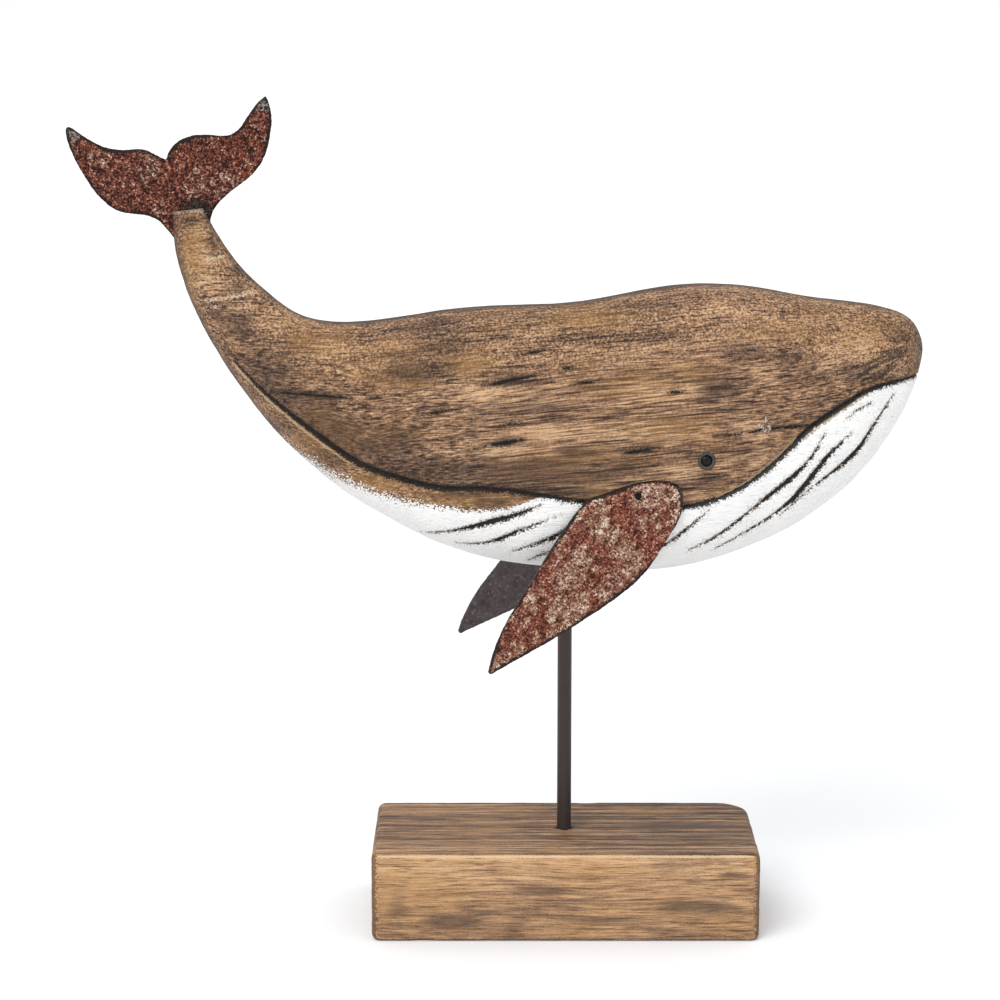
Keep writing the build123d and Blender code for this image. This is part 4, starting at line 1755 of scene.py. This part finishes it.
@dataclass
class Eyes:
    """A dark ring let into each flank, with a domed black tack in it."""

    ring_radius: float = 3.1 * MM
    bore_radius: float = 1.95 * MM
    ring_foot: float = -0.9 * MM
    ring_top: float = 0.5 * MM
    ring_points: int = 13
    tack_radius: float = 1.9 * MM
    tack_top: float = 0.6 * MM
    tack_rim: float = -0.225 * MM
    tack_points: int = 9
    shank_radius: float = 0.7 * MM
    shank_depth: float = 11.9 * MM

    def ring(self) -> Line:
        """Profile of a ring with a rolled top.

        Returns:
            Radius and height of its points.
        """
        middle = (self.ring_radius + self.bore_radius) / 2
        roll = (self.ring_radius - self.bore_radius) / 2
        profile = [(self.bore_radius, self.ring_foot), (self.ring_radius, self.ring_foot)]
        profile += arc((middle, self.ring_top - roll), roll, 0.0, 180.0, self.ring_points)
        return profile + [(self.bore_radius, self.ring_foot)]

    def tack(self) -> Line:
        """Profile of a tack with a domed head and a shank.

        Returns:
            Radius and height of its points.
        """
        rise = self.tack_top - self.tack_rim
        sphere = (self.tack_radius**2 + rise**2) / (2 * rise)
        edge = math.degrees(math.asin(self.tack_radius / sphere))
        head = arc((0.0, self.tack_top - sphere), sphere, 90.0 - edge, 90.0, self.tack_points)
        profile = [(0.0, -self.shank_depth), (self.shank_radius, -self.shank_depth + self.shank_radius)]
        profile += [(self.shank_radius, self.ring_foot), (self.tack_radius, self.ring_foot)]
        return profile + head[:-1] + [(0.0, self.tack_top)]

    def build(self, ring_finish: bpy.types.Material, tack_finish: bpy.types.Material) -> None:
        """Turn both eyes and set them in their sockets.

        Args:
            ring_finish: The rings' finish.
            tack_finish: The tacks' finish.
        """
        kinds = (
            ("rim", "ring", self.ring(), "eye_ring", ring_finish),
            ("bead", "tack", self.tack(), "eye_black", tack_finish),
        )
        for side in Side:
            for piece, node, profile, slot, finish in kinds:
                skin = lathe(profile)
                skin.transform(PLACE.matrix() @ eye_place(side))
                mesh = new_mesh(f"{side.word}_eye_{piece}", skin)
                settle(f"{side.word}_eye_{piece}", mesh, [f"{side.word}_eye_{node}"], slot, finish)


@dataclass
class Stand:
    """Wooden block and steel rod."""

    voxel: float = 0.62 * MM
    rod_radius: float = 2.5 * MM
    pith: tuple[float, float] = (0.030, -0.045)
    ring_pitch: float = 3.4 * MM
    ring_sway: Layers = (((14, 60, 60), 2.6), ((40, 200, 200), 0.6))
    saw_marks: Layers = (((35, 260, 260), 0.10), ((160, 900, 900), 0.06))
    knock_scale: Scale = (90, 150, 150)
    knock_start: float = 0.25
    knock_depth: float = 1.1
    knock_reach: float = 2.5
    # Reach of the darkening round the hole and of the painted shade along the foot, then where the painted
    # shade down the front corners starts and how fast it grows.
    darkening_reach: float = 0.5
    corner_shade_start: float = 0.45
    corner_shade_reach: float = 6.0
    # Where the front top edge turns pale from wear and a painted highlight.
    wear_highlight_start: float = 0.95
    wear_highlight_reach: float = 0.7
    # Painted light and shade, partly stain: the front face lighter towards its top, the top darker than the
    # front, darker to its right and lighter by its front edge.
    front_light_and_stain: Stops = ((0.0, -0.01), (18.0, 0.06), (27.0, 0.2))
    top_light_and_stain_along: Stops = ((-30.0, -0.17), (30.0, -0.27))
    top_light_and_stain_across: Stops = ((-24.0, 0.15), (-10.0, 0.0))
    front_blots: tuple[Patch, ...] = (
        Patch(-40.0, 7.5, 12.0, 3.2, 0.9),
        Patch(-27.0, 10.5, 14.0, 1.8, 0.6),
        Patch(-8.0, 18.5, 14.0, 2.6, 0.8),
        Patch(2.0, 14.0, 22.0, 1.8, 0.6),
        Patch(14.0, 7.5, 26.0, 2.6, 0.8),
        Patch(46.0, 13.0, 20.0, 4.5, 0.7),
        Patch(58.0, 24.0, 9.0, 2.2, 0.6),
        Patch(-58.0, 14.0, 6.0, 10.0, 0.55),
        Patch(34.0, 4.0, 14.0, 1.6, 0.65),
    )
    top_blots: tuple[Patch, ...] = (
        Patch(38.0, 4.0, 26.0, 9.0, 0.7),
        Patch(2.5, 0.0, 6.5, 2.4, 1.0),
        Patch(-48.0, -2.0, 16.0, 4.0, 0.5),
        Patch(-10.0, 20.0, 30.0, 5.0, 0.5),
    )

    def weathering(self, points: np.ndarray, outward: np.ndarray, foot: float) -> dict[str, np.ndarray]:
        """Find the block's growth rings, its edge wear with a painted highlight, darkening round its hole,
        painted shade down its front corners and along its foot, blots, and how light each place is, painted
        light and shade that is partly stain.

        Args:
            points: The block's vertices.
            outward: Their normals.
            foot: Height of the block's underside.

        Returns:
            What the finish reads at each vertex.
        """
        along, across, up = points.T / MM
        radius = np.hypot(points[:, 1] - self.pith[0], points[:, 2] - self.pith[1])
        # Edge wear and a painted highlight where the rounded edge faces front and up.
        lean = outward @ np.array((0.0, -1.0, 1.0)) / math.sqrt(2)
        hole = self.rod_radius / MM + self.darkening_reach - np.hypot(along, across)
        # Painted shade down the front corners.
        corner = np.abs(outward[:, 0]) * (outward[:, 1] < -0.25)
        corner = (corner - self.corner_shade_start) * self.corner_shade_reach
        # Painted shade along the foot.
        foot_shade = self.darkening_reach - (up - foot / MM)
        front = outward[:, 1] < -0.5
        top = np.clip(outward[:, 2] * 2.0 - 1.0, 0.0, 1.0)
        front_blot = stain_weight(np.column_stack([along, up]), self.front_blots)
        top_blot = stain_weight(np.column_stack([along, across]), self.top_blots)
        # Painted light and shade, partly stain, over the top face.
        top_light_and_stain = straight(along, self.top_light_and_stain_along) + straight(across, self.top_light_and_stain_across)
        return {
            "rings": radius / self.ring_pitch + layered_noise(points, self.ring_sway),
            "worn": (lean - self.wear_highlight_start) / (1.0 - self.wear_highlight_start) * self.wear_highlight_reach,
            "shade_and_hole_ring": np.maximum.reduce([hole, corner, foot_shade]),
            "blot": front_blot * front + top_blot * top,
            "top": top,
            "lift": np.where(front, straight(up, self.front_light_and_stain), top_light_and_stain),
        }

    def block(self, finish: bpy.types.Material) -> None:
        """Make the block, with sawn faces, edge wear with a painted highlight, painted light and shade, and a
        few knocks.

        Args:
            finish: The block's finish.
        """
        low, high = (np.array(corner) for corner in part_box("base_block"))
        mesh = frame_mesh("base_block", self.voxel)
        points, outward = coordinates(mesh), normals(mesh)
        edge = np.sort(np.minimum(points - low, high - points), axis=1)[:, 1] / MM
        knocks = np.clip(noise_at(points, self.knock_scale) - self.knock_start, 0.0, 1.0)
        knocks *= self.knock_depth * fade(edge, self.knock_reach)
        relief = (layered_noise(points, self.saw_marks) - knocks) * MM
        store(mesh, self.weathering(points, outward, low[2]))
        move_vertices(mesh, points + outward * relief[:, None])
        settle("stand_block", mesh, ["base_block"], "base_wood", finish)

    def build(self, wood: bpy.types.Material, steel: bpy.types.Material) -> None:
        """Make the block, and dress the rod, which keeps its frame solid."""
        self.block(wood)
        dress_solid("stand_rod", steel)


@dataclass
class Studio:
    """Pale floor, soft light all round with a wide key from the front left, and the camera."""

    eye: tuple[float, float, float] = (-0.02267, -1.02616, 0.33382)
    pitch: float = 0.17821
    lens: float = 108.0
    sensor: float = 36.0
    floor_size: float = 40.0
    floor_tone: Colour = (0.86, 0.87, 0.885)
    floor_rough: float = 0.9
    floor_gloss: float = 0.1
    world_light: float = 1.0
    key_light: float = 1.5
    key_angle: float = math.radians(36.0)
    key_from: tuple[float, float, float] = (-0.38, -0.6, 0.7)

    def floor(self) -> None:
        """Wide pale sheet under the figurine."""
        mesh = bpy.data.meshes.new("floor")
        half = self.floor_size / 2
        corners = [(-half, -half, 0), (half, -half, 0), (half, half, 0), (-half, half, 0)]
        mesh.from_pydata(corners, [], [(0, 1, 2, 3)])
        material, graph, shader = start_finish("studio_floor")
        cover(graph, shader, self.floor_tone, self.floor_rough, self.floor_gloss)
        mesh.materials.append(material)
        sheet = put_in_scene("studio_floor", mesh)

    def key(self) -> None:
        """Wide soft light from one direction."""
        data = bpy.data.lights.new("key", "SUN")
        data.energy = self.key_light
        data.angle = self.key_angle
        lamp = put_in_scene("key", data)
        lamp.rotation_euler = (-Vector(self.key_from)).to_track_quat("-Z", "Y").to_euler()

    def camera(self) -> None:
        """Camera at the photograph's viewpoint."""
        data = bpy.data.cameras.new("camera")
        data.lens = self.lens
        data.sensor_width = self.sensor
        camera = put_in_scene("camera", data)
        camera.location = self.eye
        camera.rotation_euler = (math.pi / 2 - self.pitch, 0.0, 0.0)
        bpy.context.scene.camera = camera

    def build(self) -> None:
        """Set up the studio."""
        scene = bpy.context.scene
        world = bpy.data.worlds.new("studio")
        scene.world = world
        world.use_nodes = True
        backdrop = world.node_tree.nodes["Background"]
        backdrop.inputs["Color"].default_value = (1.0, 1.0, 1.0, 1.0)
        backdrop.inputs["Strength"].default_value = self.world_light
        scene.view_settings.view_transform = "Standard"
        self.floor()
        self.key()
        self.camera()


def main() -> None:
    """Build every piece of the figurine and the studio round it."""
    logging.basicConfig(level=logging.INFO, format="%(name)s: %(message)s")
    effects = SharedEffects()
    ring = DarkSteel(
        effects,
        "dull_eye_ring",
        deep=(0.022, 0.020, 0.017),
        light=(0.092, 0.082, 0.070),
        rust=(0.14, 0.115, 0.085),
        rust_share=0.4,
        rough=0.6,
    )
    tack = DarkSteel(
        effects,
        "glossy_eye_black",
        deep=(0.004, 0.004, 0.004),
        light=(0.007, 0.006, 0.006),
        rust=(0.02, 0.018, 0.015),
        rust_share=0.2,
        rough=0.24,
    )
    rod = DarkSteel(
        effects,
        "satin_rod_steel",
        deep=(0.016, 0.009, 0.007),
        light=(0.034, 0.020, 0.017),
        rust=(0.06, 0.03, 0.02),
        rust_share=0.25,
        rough=0.38,
        metal=0.15,
        gloss=0.5,
    )
    WhaleBody().build(CarvedWood(effects).make())
    SheetFins().build(RustedSheet(effects).make())
    Eyes().build(ring.make(), tack.make())
    Stand().build(BlockWood(effects).make(), rod.make())
    FlipperNails(effects).build()
    Studio().build()


if __name__ == "__main__":
    main()
